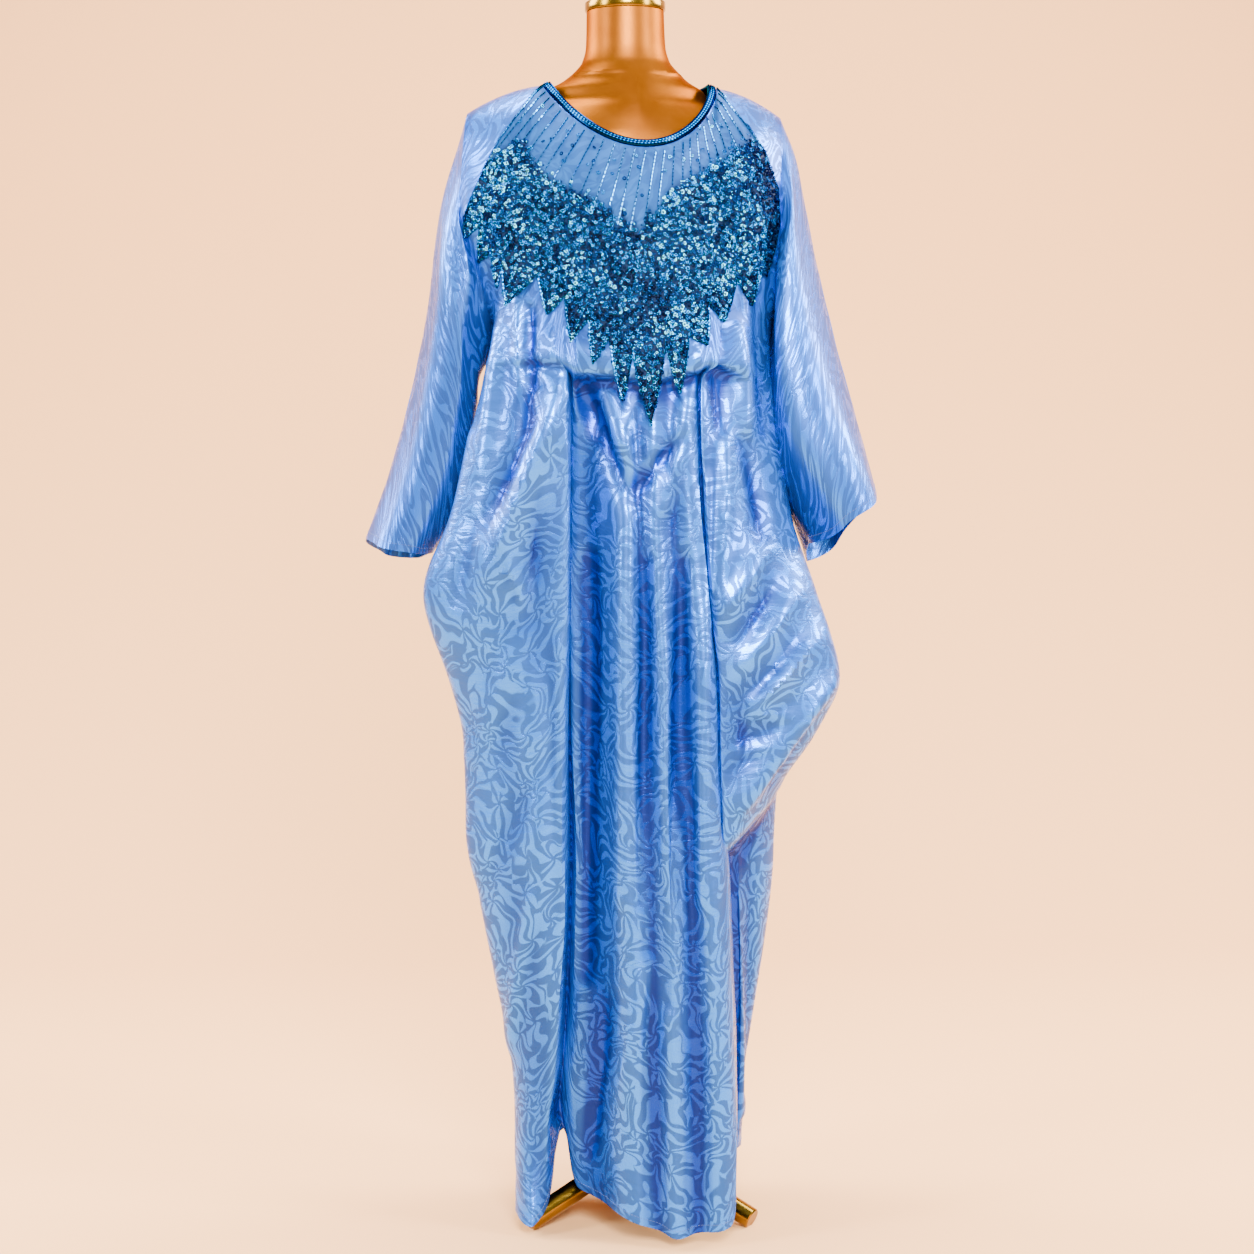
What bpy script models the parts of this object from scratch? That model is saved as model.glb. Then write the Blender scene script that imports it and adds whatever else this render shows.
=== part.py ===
"""A full-length satin kaftan with a beaded bib, hanging on a limbless dress form with a brass tripod.

Metres, +Z up, -Y is the front. X runs to the right of someone who faces the dress.
The body of the dress is a net of rails, which run up the cloth, and sections, which run round it.
Run with: blender --background --python part.py
"""

import math
from collections import namedtuple

import bmesh
import bpy
import numpy as np
from mathutils import Matrix, Vector
from mathutils.bvhtree import BVHTree

# Driving dimensions
CLOTH = 0.002            # thickness of the satin wall
SEAM_GAP = 0.0003        # between two pieces at a seam
FORM_TURN = math.radians(12)   # the form faces a little to the right of the dress's front
BAND_WIDTH = 0.011       # beaded neck binding
BAND_THICKNESS = 0.003
BAND_PROUD = 0.0008      # how far the binding stands above the satin
CHEST_MIDDLE = np.array((0.0, 0.0, 1.25))
BIB_THICKNESS = 0.001

# Neck opening, in the form's own frame: half width, place and drop below its side corners
NECK_HALF_WIDTH = 0.099
NECK_MIDDLE_Y = -0.020
NECK_CORNER_Z = 1.424
NECK_FRONT = {"reach": -0.083, "drop": 0.078}
NECK_BACK = {"reach": 0.084, "drop": 0.010}
NECK_SPREAD = {"side": 0.95, "front": 0.5, "back": 0.9}   # how the band widens away from the opening
BAND_SLOPE = 0.34        # how far the band falls for each metre of its width
NECK_ROUND = {"reach": 1.2, "drop": 1.5}    # powers that shape the front of the opening

# Shoulder seam, in the form's own frame
SHOULDER_TIP = (0.199, 0.004, 1.388)
SHOULDER_CROWN = 0.006   # how far the seam bows up between neck and tip

# The form's neck and stand
FORM_BASE_Z = 0.80
POLE_RADIUS = 0.0125
HUB_Z = (0.040, 0.100)
HUB_RADIUS = 0.028
HUB_EDGE = 0.003
LEG_RADIUS = 0.0135
LEG_ROOT_Z = 0.068
LEG_ROOT = 0.015         # inside the hub, which is then cut out of the leg with a small gap
LEG_ROUNDNESS = 3
FOOT_REACH = 0.162
FOOT_FLAT = 0.003        # how much of the round tube is cut away on the floor
LEG_BEARINGS = {"leg_left": 210, "leg_right": 330, "leg_back": 90}

# Sections of the dress's body from hem to chest.
# seam: side seam or armhole edge; edge: outermost point seen from the front; fold: crisp edge
# of the deep pleat; pit: how far back that pleat goes; swell: how far the lobe rounds forward.
Left = namedtuple("Left", "section z seam_x seam_y edge_x edge_y fold_x fold_y pit_y swell")
LEFT = [Left(*row) for row in (
    ("hem",      0.014, -0.147,  0.005, -0.158, -0.070, -0.113, -0.094,  0.040, 0.036),
    ("ankle", 0.100, -0.146, 0.018, -0.157, -0.058, -0.114, -0.098,  0.030, 0.020),
    ("calf", 0.200, -0.149, 0.028, -0.160, -0.052, -0.104, -0.106,  0.020, 0.016),
    ("shin", 0.300, -0.163, 0.030, -0.177, -0.050, -0.0955, -0.113, 0.010, 0.018),
    ("knee", 0.400, -0.178, 0.030, -0.196, -0.050, -0.0885, -0.118, -0.005, 0.020),
    ("under", 0.500, -0.190, 0.030, -0.213, -0.048, -0.0845, -0.126, -0.025, 0.022),
    ("swag", 0.520, -0.191, 0.030, -0.213, -0.048, -0.0840, -0.127, -0.028, 0.022),
    ("thigh", 0.610, -0.194, 0.028, -0.214, -0.048, -0.0825, -0.131, -0.045, 0.024),
    ("flare", 0.690, -0.204, 0.020, -0.232, -0.048, -0.0810, -0.135, -0.060, 0.026),
    ("hip", 0.795, -0.224, 0.008, -0.263, -0.052, -0.0785, -0.142, -0.110, 0.028),
    ("waist",    0.900, -0.190,  0.000, -0.223, -0.078, -0.0755, -0.148, -0.108, 0.024),
    ("rib",      1.000, -0.176, -0.002, -0.199, -0.085, -0.0730, -0.151, -0.118, 0.020),
    ("tuck",     1.046, -0.1725, -0.006, -0.1855, -0.088, -0.0745, -0.151, -0.126, 0.015),
    ("puff",     1.060, -0.171, -0.008, -0.182, -0.088, -0.0860, -0.156, -0.1605, 0.014),
    ("underarm", 1.100, -0.165, -0.012, -0.172, -0.090, -0.0880, -0.151, -0.1555, 0.014),
    ("bust",     1.160, -0.176, -0.076, -0.166, -0.094, -0.0880, -0.143, -0.1475, 0.010),
    ("chest",    1.250, -0.204, -0.086, -0.190, -0.098, -0.0880, -0.131, -0.1340, 0.008),
)]
Centre = namedtuple("Centre", "section left_x left_y right_x right_y swell wave")
CENTRE = [Centre(*row) for row in (
    ("hem",      -0.081, -0.074, 0.114, -0.148, 0.046, 0.010),
    ("ankle",    -0.086, -0.078, 0.1155, -0.149, 0.038, 0.011),
    ("calf",     -0.084, -0.088, 0.1140, -0.148, 0.032, 0.012),
    ("shin", -0.0805, -0.088, 0.1110, -0.147, 0.033, 0.012),
    ("knee", -0.0765, -0.092, 0.1080, -0.146, 0.031, 0.012),
    ("under", -0.0740, -0.096, 0.1045, -0.144, 0.029, 0.012),
    ("swag", -0.0745, -0.097, 0.1040, -0.144, 0.028, 0.012),
    ("thigh", -0.0765, -0.099, 0.1010, -0.143, 0.027, 0.011),
    ("flare", -0.0765, -0.103, 0.0995, -0.142, 0.025, 0.010),
    ("hip", -0.0745, -0.108, 0.0900, -0.141, 0.024, 0.009),
    ("waist", -0.0725, -0.114, 0.0845, -0.141, 0.023, 0.007),
    ("rib", -0.0700, -0.122, 0.0815, -0.142, 0.020, 0.004),
    ("tuck",     -0.0690, -0.142, 0.0810, -0.136, 0.010, 0.002),
    ("puff",     -0.0650, -0.163, 0.0860, -0.157, 0.014, 0.000),
    ("underarm", -0.0655, -0.158, 0.0865, -0.152, 0.014, 0.000),
    ("bust",     -0.0650, -0.150, 0.0870, -0.142, 0.012, 0.000),
    ("chest",    -0.0640, -0.137, 0.0880, -0.128, 0.010, 0.000),
)]
Right = namedtuple("Right", "section pit_y fold_x fold_y edge_x edge_y seam_x seam_y swell back_y")
RIGHT = [Right(*row) for row in (
    ("hem",      0.035, 0.122, -0.012, 0.131, 0.010, 0.126, 0.045, 0.006, 0.128),
    ("ankle",    0.030, 0.123, -0.018, 0.1340, 0.008, 0.130, 0.045, 0.008, 0.130),
    ("calf",     0.025, 0.1240, -0.026, 0.1440, 0.006, 0.139, 0.045, 0.010, 0.133),
    ("shin",     0.018, 0.1230, -0.038, 0.1560, 0.004, 0.150, 0.045, 0.012, 0.136),
    ("knee",     0.008, 0.1210, -0.050, 0.1730, 0.000, 0.165, 0.045, 0.014, 0.138),
    ("under",   -0.010, 0.1170, -0.062, 0.1815, -0.004, 0.172, 0.043, 0.014, 0.139),
    ("swag",    -0.050, 0.1080, -0.136, 0.1840, -0.052, 0.176, 0.030, 0.014, 0.139),
    ("thigh",   -0.066, 0.1045, -0.139, 0.2260, -0.052, 0.207, 0.026, 0.020, 0.139),
    ("flare",   -0.074, 0.1035, -0.141, 0.2590, -0.048, 0.236, 0.024, 0.026, 0.138),
    ("hip",     -0.090, 0.0935, -0.143, 0.2290, -0.052, 0.209, 0.026, 0.024, 0.136),
    ("waist",   -0.105, 0.0870, -0.145, 0.1960, -0.050, 0.200, 0.028, 0.020, 0.132),
    ("rib",     -0.113, 0.0840, -0.146, 0.1790, -0.058, 0.188, 0.028, 0.016, 0.127),
    ("tuck",    -0.119, 0.0850, -0.142, 0.1735, -0.061, 0.184, 0.028, 0.013, 0.124),
    ("puff",    -0.1515, 0.1060, -0.147, 0.1700, -0.062, 0.182, 0.026, 0.012, 0.122),
    ("underarm", -0.1460, 0.1070, -0.141, 0.1680, -0.064, 0.180, 0.024, 0.012, 0.120),
    ("bust",    -0.1355, 0.1080, -0.129, 0.1660, -0.066, 0.1795, -0.044, 0.010, 0.116),
    ("chest",   -0.1200, 0.1100, -0.112, 0.1740, -0.068, 0.1885, -0.046, 0.008, 0.112),
)]
UNDERARM = [row.section for row in LEFT].index("underarm")

# Where a section isn't level, how far each rail stands above the height in the table
Lift = namedtuple("Lift", "section left pit_l centre_l low centre_r pit_r fold_r right back")
LIFTS = {row[0]: Lift(*row) for row in (
    ("hem",   0.000, 0.118, 0.038, 0.000, 0.008, 0.060, 0.066, 0.066, 0.078),
    ("ankle", 0.000, 0.065, 0.022, 0.000, 0.003, 0.034, 0.035, 0.035, 0.042),
    ("calf",  0.000, 0.020, 0.008, 0.000, 0.000, 0.010, 0.010, 0.010, 0.012),
    ("knee",  0.000, 0.000, 0.000, 0.000, -0.004, -0.006, -0.010, 0.020, 0.000),
    ("under", 0.000, 0.000, 0.000, 0.000, -0.008, -0.014, -0.030, 0.042, 0.000),
    ("swag",  0.000, 0.000, 0.000, 0.000, -0.012, -0.020, -0.036, 0.034, 0.000),
    ("thigh", 0.000, 0.000, 0.000, 0.000, -0.006, -0.012, -0.020, 0.006, 0.000),
    ("tuck",  0.024, 0.014, 0.009, 0.000, 0.012, 0.014, 0.014, 0.004, 0.000),
    ("puff",  0.024, 0.014, 0.009, 0.000, 0.012, 0.014, 0.014, 0.004, 0.000),
)}
LEVEL = Lift("level", 0, 0, 0, 0, 0, 0, 0, 0, 0)
LEFT_TAIL = {"hem": 0.028, "ankle": 0.012}   # the rounded corner of the left tail rises by this much

# The soft ribs and dips of the centre panel: place across it, and share of the wave's height
Rib = namedtuple("Rib", "rail across height")
RIBS = (Rib("dip_1", 0.13, -1.15), Rib("rib_1", 0.40, 0.55), Rib("dip_2", 0.52, -0.40),
        Rib("rib_2", 0.64, 0.60), Rib("dip_3", 0.78, -0.75), Rib("rib_3", 0.91, 0.60))

# Creases of the front seen from the camera's side: a ridge from one point to another
Crease = namedtuple("Crease", "from_x from_z to_x to_z height width")
CREASES = [Crease(*row) for row in (
    (-0.085, 1.035, -0.160, 0.840, 0.013, 0.024),    # long diagonal of the left lobe
    (-0.174, 0.868, -0.138, 0.790, 0.010, 0.014),    # where that diagonal folds over
    (-0.118, 1.040, -0.096, 0.985, 0.008, 0.014),    # pinch under the blouse's left corner
    (-0.128, 0.700, -0.108, 0.300, 0.010, 0.018),    # round edge beside the left pleat
    (0.127, 1.030, 0.124, 0.700, 0.007, 0.015),      # round edge beside the right pleat
    (0.166, 0.856, 0.112, 0.772, 0.009, 0.014),
    (0.205, 0.800, 0.138, 0.712, 0.010, 0.015),
    (0.226, 0.738, 0.146, 0.655, 0.011, 0.015),
    (0.232, 0.676, 0.128, 0.548, 0.014, 0.017),      # heavy edge of the swag
)]

# Soft pleats that hang down the back: place across it, reach at the hem and at the chest
Pleat = namedtuple("Pleat", "across hem chest")
PLEATS = (Pleat(0.10, 0.006, 0.001), Pleat(0.24, -0.016, -0.002), Pleat(0.37, 0.012, 0.002),
          Pleat(0.50, -0.020, -0.003), Pleat(0.63, 0.012, 0.002), Pleat(0.76, -0.016, -0.002),
          Pleat(0.90, 0.006, 0.001))

# Rows of the net: how many steps the cloth takes from each section to the next
ROW_STEPS = (2, 2, 2, 2, 2, 1, 2, 2, 2, 2, 2, 1, 1, 1, 3, 3)
CROWN_STEPS = 5          # from the chest to the shoulder seams and neck
NECK_SHARE = 0.62        # of the crown's columns end at the neck
CHEST_LEAVE = 1.15       # how far the front goes straight up before it turns in
BACK_LEAVE = 1.3
AT_NECK = np.array((0.0, 0.35, 0.90))       # how the crown arrives: back and up
AT_SHOULDER = np.array((0.0, 1.15, 0.15))
BACK_ROUND = 0.7         # below 1 the back is squarer than a half circle
LOWEST_ACROSS = 0.64     # where the front hem is lowest, from the left fold to the right one
CREASE_SPAN = (0.12, 0.88)   # part of a half wave that a crease's height follows
CREASE_ROUND = 0.6
FRONT_STEPS = (2, 3, 3, 1, 1, 1, 1, 2, 3, 2, 2, 2, 2, 1, 1, 1, 1, 1, 3, 3, 2)
BACK_STEPS = 2
BACK_SHOULDER = 3        # columns of the back along each shoulder seam
SLEEVE_STEPS = (2, 1, 1, 1, 1, 1, 1)
SLEEVE_FOLD = 0.004      # soft folds down a sleeve
SLEEVE_FOLDS = 5
SLEEVE_LEAST = 0.4       # a turned cuff is never narrower than this share of its width
VALLEY = -0.3            # below this cosine a sleeve and the body hang back to back from the armhole

# Sleeves: each section is a leaning oval. out/in are the outer and inner sides.
Cuff = namedtuple("Cuff", "out_x out_z in_x in_z front_y front_z back_y back_z yaw")
SLEEVE_LEFT = [Cuff(*row) for row in (
    (-0.2125, 1.335, -0.186, 1.062, -0.094, 1.205, 0.040, 1.200, 0),
    (-0.2350, 1.262, -0.190, 1.030, -0.092, 1.150, 0.058, 1.140, 0),
    (-0.2500, 1.168, -0.196, 0.992, -0.082, 1.085, 0.072, 1.070, 4),
    (-0.2680, 1.080, -0.203, 0.952, -0.072, 1.018, 0.082, 1.000, 6),
    (-0.2900, 1.000, -0.213, 0.915, -0.064, 0.955, 0.088, 0.935, 8),
    (-0.3130, 0.930, -0.229, 0.880, -0.058, 0.900, 0.092, 0.875, 8),
    (-0.3380, 0.866, -0.252, 0.848, -0.054, 0.850, 0.094, 0.838, 8),
)]
SLEEVE_RIGHT = [Cuff(*row) for row in (
    (0.2110, 1.335, 0.1850, 1.062, -0.062, 1.205, 0.098, 1.200, 3),
    (0.2270, 1.262, 0.1870, 1.032, -0.080, 1.150, 0.104, 1.140, 8),
    (0.2460, 1.172, 0.1870, 0.994, -0.090, 1.085, 0.108, 1.070, 10),
    (0.2650, 1.088, 0.1900, 0.957, -0.094, 1.022, 0.110, 1.005, 9),
    (0.2830, 1.016, 0.1980, 0.924, -0.094, 0.972, 0.110, 0.942, 4),
    (0.2965, 0.966, 0.2080, 0.888, -0.090, 0.930, 0.106, 0.886, -2),
    (0.3085, 0.918, 0.2200, 0.852, -0.084, 0.886, 0.100, 0.836, -8),
)]

# Bib outline seen from the front: each spike's tip, then the notch to its right
Spike = namedtuple("Spike", "tip_x tip_z notch_x notch_z")
SPIKES = [Spike(*row) for row in (
    (-0.199, 1.232, -0.178, 1.246), (-0.182, 1.202, -0.165, 1.216),
    (-0.158, 1.168, -0.152, 1.196), (-0.148, 1.148, -0.109, 1.186),
    (-0.098, 1.135, -0.076, 1.158), (-0.070, 1.103, -0.047, 1.133),
    (-0.044, 1.075, -0.024, 1.108), (-0.009, 1.030, 0.003, 1.098),
    (0.024, 1.002, 0.042, 1.108), (0.059, 1.038, 0.070, 1.108),
    (0.093, 1.096, 0.094, 1.150), (0.114, 1.124, 0.130, 1.178),
    (0.149, 1.144, 0.159, 1.186), (0.169, 1.184, 0.182, 1.205),
)]
BIB_LEFT = ((-0.196, 1.262), (-0.186, 1.285), (-0.170, 1.318), (-0.152, 1.350), (-0.132, 1.378))
BIB_RIGHT = ((0.186, 1.250), (0.184, 1.290), (0.168, 1.335), (0.148, 1.366), (0.128, 1.390))
BIB_ROWS = 7
SPIKE_ROWS = 2
BIB_ARC = (184, 356)     # where the bib starts and ends on the neck binding
EASE_SAMPLES = 4
BIB_CLEAR = 0.0019       # between the bib and the satin under it
BIB_INSET = 0.0015       # from the neck binding to the bib
SPIKE_START = 0.86       # the spikes begin this far out from the neck
CAP_SIDES = 32
NECK_CAP = ((0.046, 1.5145), (0.050, 1.5152), (0.050, 1.5255), (0.0485, 1.5265), (0.035, 1.5266),
            (0.035, 1.541), (0.031, 1.545))

# Side edges of the back piece above the underarm, where the armhole parts it from the front
Edge = namedtuple("Edge", "left_x left_y right_x right_y")
BACK_EDGE = {"bust": Edge(-0.174, 0.030, 0.178, 0.092), "chest": Edge(-0.202, 0.022, 0.188, 0.088)}

# The padded form under the dress, in its own frame
Torso = namedtuple("Torso", "z half_x front back")
TORSO = [Torso(*row) for row in (
    (0.800, 0.160, 0.104, 0.104), (0.850, 0.158, 0.105, 0.103), (0.910, 0.146, 0.100, 0.098),
    (0.980, 0.132, 0.095, 0.088), (1.050, 0.138, 0.106, 0.090), (1.110, 0.148, 0.124, 0.094),
    (1.160, 0.156, 0.122, 0.096), (1.230, 0.168, 0.110, 0.095), (1.300, 0.178, 0.098, 0.092),
    (1.345, 0.180, 0.092, 0.075), (1.372, 0.166, 0.086, 0.062), (1.390, 0.136, 0.080, 0.052),
    (1.402, 0.107, 0.075, 0.047), (1.4172, 0.0986, 0.068, 0.050), (1.428, 0.080, 0.063, 0.050),
    (1.440, 0.065, 0.057, 0.050), (1.453, 0.0545, 0.052, 0.050), (1.472, 0.0495, 0.049, 0.049),
    (1.5142, 0.0480, 0.048, 0.048),
)]
TORSO_SIDES = 26
SLOPE_Z = (1.36, 1.435)
SHOULDER_SQUARE = 1.35   # above 1 the rings between these heights are nearer a diamond

FRONT_RAILS = ("seam_l", "edge_l", "lobe_l", "fold_l", "tuck_l", "pit_l", "turn_l", "centre_l",
               "dip_1", "rib_1", "dip_2", "rib_2", "dip_3", "rib_3", "centre_r", "turn_r",
               "pit_r", "tuck_r", "fold_r", "lobe_r", "edge_r", "seam_r")


# Colours stand for the materials; the fine weave is left to the scene
MATERIALS = {
    "satin": ((0.235, 0.420, 0.760, 1), 0.0, 0.32),
    "beaded_net": ((0.060, 0.300, 0.560, 1), 0.1, 0.30),
    "beaded_binding": ((0.200, 0.380, 0.640, 1), 0.1, 0.30),
    "gold_cover": ((0.480, 0.150, 0.020, 1), 0.3, 0.35),
    "brass": ((0.560, 0.300, 0.090, 1), 1.0, 0.25),
}


def mix(first, last, share):
    return first + (last - first) * share


def slopes(places, values):
    """Slopes of a cubic through the values that never overshoots them."""
    steps = np.diff(places)[:, None]
    rises = np.diff(values, axis=0) / steps
    result = np.empty_like(values)
    result[0], result[-1] = rises[0], rises[-1]
    before, after = rises[:-1], rises[1:]
    weigh_a, weigh_b = 2 * steps[1:] + steps[:-1], steps[1:] + 2 * steps[:-1]
    same = before * after > 0
    below = np.where(same, weigh_a / np.where(same, before, 1) + weigh_b / np.where(same, after, 1), 1)
    result[1:-1] = np.where(same, (weigh_a + weigh_b) / below, 0.0)
    return result


def smooth(places, values, steps):
    """Points through the values, each gap between two places cut into its number of steps."""
    places, values = np.asarray(places, float), np.asarray(values, float)
    tilt = slopes(places, values)
    rows = []
    for gap, count in enumerate(steps):
        width = places[gap + 1] - places[gap]
        for part in range(count):
            t = part / count
            rows.append((1 + 2 * t) * (1 - t) ** 2 * values[gap] + t * (1 - t) ** 2 * width * tilt[gap]
                        + t * t * (3 - 2 * t) * values[gap + 1] - t * t * (1 - t) * width * tilt[gap + 1])
    rows.append(values[-1])
    return np.array(rows)


def turned(point):
    """A point of the form's own frame, in the dress's frame."""
    x, y, z = point
    return np.array((x * math.cos(FORM_TURN) - y * math.sin(FORM_TURN),
                     x * math.sin(FORM_TURN) + y * math.cos(FORM_TURN), z))


def neck_point(angle, out=0.0):
    """A point of the neck opening. Angle 180 is the left corner, 270 the front, 0 the right."""
    side, depth = math.cos(math.radians(angle)), math.sin(math.radians(angle))
    share = abs(depth)
    x = (NECK_HALF_WIDTH + NECK_SPREAD["side"] * out) * side
    z = NECK_CORNER_Z - BAND_SLOPE * out
    if depth < 0:
        wider = NECK_SPREAD["front"] * out
        y = NECK_MIDDLE_Y + (NECK_FRONT["reach"] - wider) * share ** NECK_ROUND["reach"]
        z -= (NECK_FRONT["drop"] + wider) * share ** NECK_ROUND["drop"]
    else:
        y = NECK_MIDDLE_Y + (NECK_BACK["reach"] + NECK_SPREAD["back"] * out) * share
        z -= NECK_BACK["drop"] * share
    return turned((x, y, z))


def neck_outward(angle):
    """The direction that the neck binding faces."""
    across = neck_point(angle, BAND_WIDTH) - neck_point(angle)
    out = np.cross(across, neck_point(angle + 1) - neck_point(angle - 1))
    out /= np.linalg.norm(out)
    return out if out @ (neck_point(angle) - CHEST_MIDDLE) > 0 else -out


def neck_angles():
    """The angles of the cloth's own columns round the neck, so that the binding matches them."""
    ahead = sum(FRONT_STEPS) - sum(FRONT_STEPS[:3]) - sum(FRONT_STEPS[-3:])
    behind = BACK_STEPS * (len(PLEATS) + 1) - 2 * BACK_SHOULDER
    return ([180 + 180 * i / ahead for i in range(ahead)]
            + [360 + 180 * i / behind for i in range(behind)])


def shoulder_point(side, share):
    """A point of the shoulder seam, share 0 at the tip and 1 at the neck."""
    tip = turned((side * SHOULDER_TIP[0], SHOULDER_TIP[1], SHOULDER_TIP[2]))
    corner = neck_point(0 if side > 0 else 180, BAND_WIDTH)
    point = mix(tip, corner, share)
    point[2] += SHOULDER_CROWN * 4 * share * (1 - share)
    return point


def creased(rows, steps):
    """The front's rows with the creases raised, apart from the walls of the two deep pleats."""
    ends = np.cumsum((0,) + steps)
    free = np.ones(rows.shape[1])
    for first, last in (("fold_l", "centre_l"), ("centre_r", "fold_r")):
        a, b = ends[FRONT_RAILS.index(first)], ends[FRONT_RAILS.index(last)]
        free[a:b + 1] = 0.0
    raised = rows.copy()
    for crease in CREASES:
        start = np.array((crease.from_x, crease.from_z))
        line = np.array((crease.to_x, crease.to_z)) - start
        offset = rows[:, :, (0, 2)] - start
        along = np.clip(offset @ line / (line @ line), 0.0, 1.0)
        away = np.linalg.norm(offset - along[:, :, None] * line, axis=2) / crease.width
        taper = np.sin(math.pi * mix(CREASE_SPAN[0], CREASE_SPAN[1], along)) ** CREASE_ROUND
        raised[:, :, 1] -= crease.height * taper * np.exp(-away ** 2) * free
    return raised


def lift_of(section):
    return LIFTS.get(section, LEVEL)


def front_rails(left, centre, right):
    """The points of one section of the front, rail by rail from the left seam to the right."""
    lift = lift_of(left.section)
    z = left.z
    gap_l, gap_r = centre.left_x - left.fold_x, right.fold_x - centre.right_x
    tail = LEFT_TAIL.get(left.section, 0.0)
    rails = [
        (left.seam_x, left.seam_y, z + lift.left),
        (left.edge_x, left.edge_y, z + lift.left + 0.3 * tail),
        (mix(left.edge_x, left.fold_x, 0.5), mix(left.edge_y, left.fold_y, 0.5) - left.swell,
         z + lift.left),
        (left.fold_x, left.fold_y, z + lift.left + tail),
        (left.fold_x + 0.25 * gap_l, mix(left.fold_y, left.pit_y, 0.5),
         z + mix(lift.left + tail, lift.pit_l, 0.6)),
        (left.fold_x + 0.50 * gap_l, left.pit_y, z + lift.pit_l),
        (left.fold_x + 0.75 * gap_l, mix(left.pit_y, centre.left_y, 0.5),
         z + mix(lift.pit_l, lift.centre_l, 0.4)),
        (centre.left_x, centre.left_y, z + lift.centre_l),
    ]
    for rib in RIBS:
        t = rib.across
        low = mix(lift.centre_l, lift.low, min(t / LOWEST_ACROSS, 1.0))
        if t > LOWEST_ACROSS:
            low = mix(lift.low, lift.centre_r, (t - LOWEST_ACROSS) / (1 - LOWEST_ACROSS))
        rails.append((mix(centre.left_x, centre.right_x, t),
                      mix(centre.left_y, centre.right_y, t) - centre.swell * 4 * t * (1 - t)
                      - rib.height * centre.wave, z + low))
    rails += [
        (centre.right_x, centre.right_y, z + lift.centre_r),
        (centre.right_x + 0.25 * gap_r, mix(centre.right_y, right.pit_y, 0.5),
         z + mix(lift.centre_r, lift.pit_r, 0.5)),
        (centre.right_x + 0.50 * gap_r, right.pit_y, z + lift.pit_r),
        (centre.right_x + 0.75 * gap_r, mix(right.pit_y, right.fold_y, 0.5),
         z + mix(lift.pit_r, lift.fold_r, 0.5)),
        (right.fold_x, right.fold_y, z + lift.fold_r),
        (mix(right.fold_x, right.edge_x, 0.5), mix(right.fold_y, right.edge_y, 0.5) - right.swell,
         z + mix(lift.fold_r, lift.right, 0.45)),
        (right.edge_x, right.edge_y, z + lift.right),
        (right.seam_x, right.seam_y, z + lift.right),
    ]
    return rails


def back_rails(left, right):
    """The points of one section of the back, from the left seam to the right."""
    lift = lift_of(left.section)
    edge = BACK_EDGE.get(left.section, Edge(left.seam_x, left.seam_y, right.seam_x, right.seam_y))
    rails = [(edge.left_x, edge.left_y, left.z + lift.left)]
    share = min(left.z / LEFT[-1].z, 1.0)
    for pleat in PLEATS:
        turn = math.pi * pleat.across
        round_off = math.sin(turn) ** BACK_ROUND
        across = 0.5 - 0.5 * math.cos(turn)
        base = mix(edge.left_y, edge.right_y, across)
        low = mix(lift.left, lift.right, across)
        rails.append((mix(edge.left_x, edge.right_x, across),
                      base + (right.back_y - base) * round_off + mix(pleat.hem, pleat.chest, share),
                      left.z + mix(low, lift.back, round_off)))
    return rails + [(edge.right_x, edge.right_y, left.z + lift.right)]


def crown(chest, edge, lean):
    """Rows from the chest up to the shoulders and neck. lean is 1 for the front, -1 for the back."""
    count = len(edge)
    rows = []
    for step in range(1, CROWN_STEPS + 1):
        t = step / CROWN_STEPS
        row = []
        for column in range(count):
            start, end = chest[column], edge[column]
            length = float(np.linalg.norm(end - start))
            off_neck = min(abs(2 * column / (count - 1) - 1) / NECK_SHARE, 1.0) ** 2
            arrive = mix(AT_NECK, AT_SHOULDER, off_neck) * (1.0, lean, 1.0) * length
            leave = np.array((0.0, 0.0, (CHEST_LEAVE if lean > 0 else BACK_LEAVE) * length))
            row.append((1 + 2 * t) * (1 - t) ** 2 * start + t * (1 - t) ** 2 * leave
                       + t * t * (3 - 2 * t) * end - t * t * (1 - t) * arrive)
        rows.append(row)
    return np.array(rows)


def net(sections, steps, edge, lean):
    """Rows of points of one piece of the body, from hem to shoulder and neck."""
    heights = [row.z for row in LEFT]
    rails = np.array(sections, float)
    levels = smooth(heights, rails.reshape(len(heights), -1), ROW_STEPS).reshape(-1, rails.shape[1], 3)
    rows = []
    for level in levels:
        along = np.concatenate(([0.0], np.cumsum(np.linalg.norm(np.diff(level, axis=0), axis=1) + 1e-6)))
        rows.append(smooth(along, level, steps))
    rows = np.array(rows)
    return np.concatenate((rows, crown(rows[-1], edge, lean)))


def normals(rows, ring=False):
    """Outward normals of a net, smooth across its points."""
    along = np.empty_like(rows)
    along[:, 1:-1] = rows[:, 2:] - rows[:, :-2]
    along[:, 0] = rows[:, 1] - (rows[:, -1] if ring else rows[:, 0])
    along[:, -1] = (rows[:, 0] if ring else rows[:, -1]) - rows[:, -2]
    up = np.empty_like(rows)
    up[1:-1] = rows[2:] - rows[:-2]
    up[0], up[-1] = rows[1] - rows[0], rows[-1] - rows[-2]
    out = np.cross(along, up)
    return out / np.linalg.norm(out, axis=2)[:, :, None]


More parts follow.
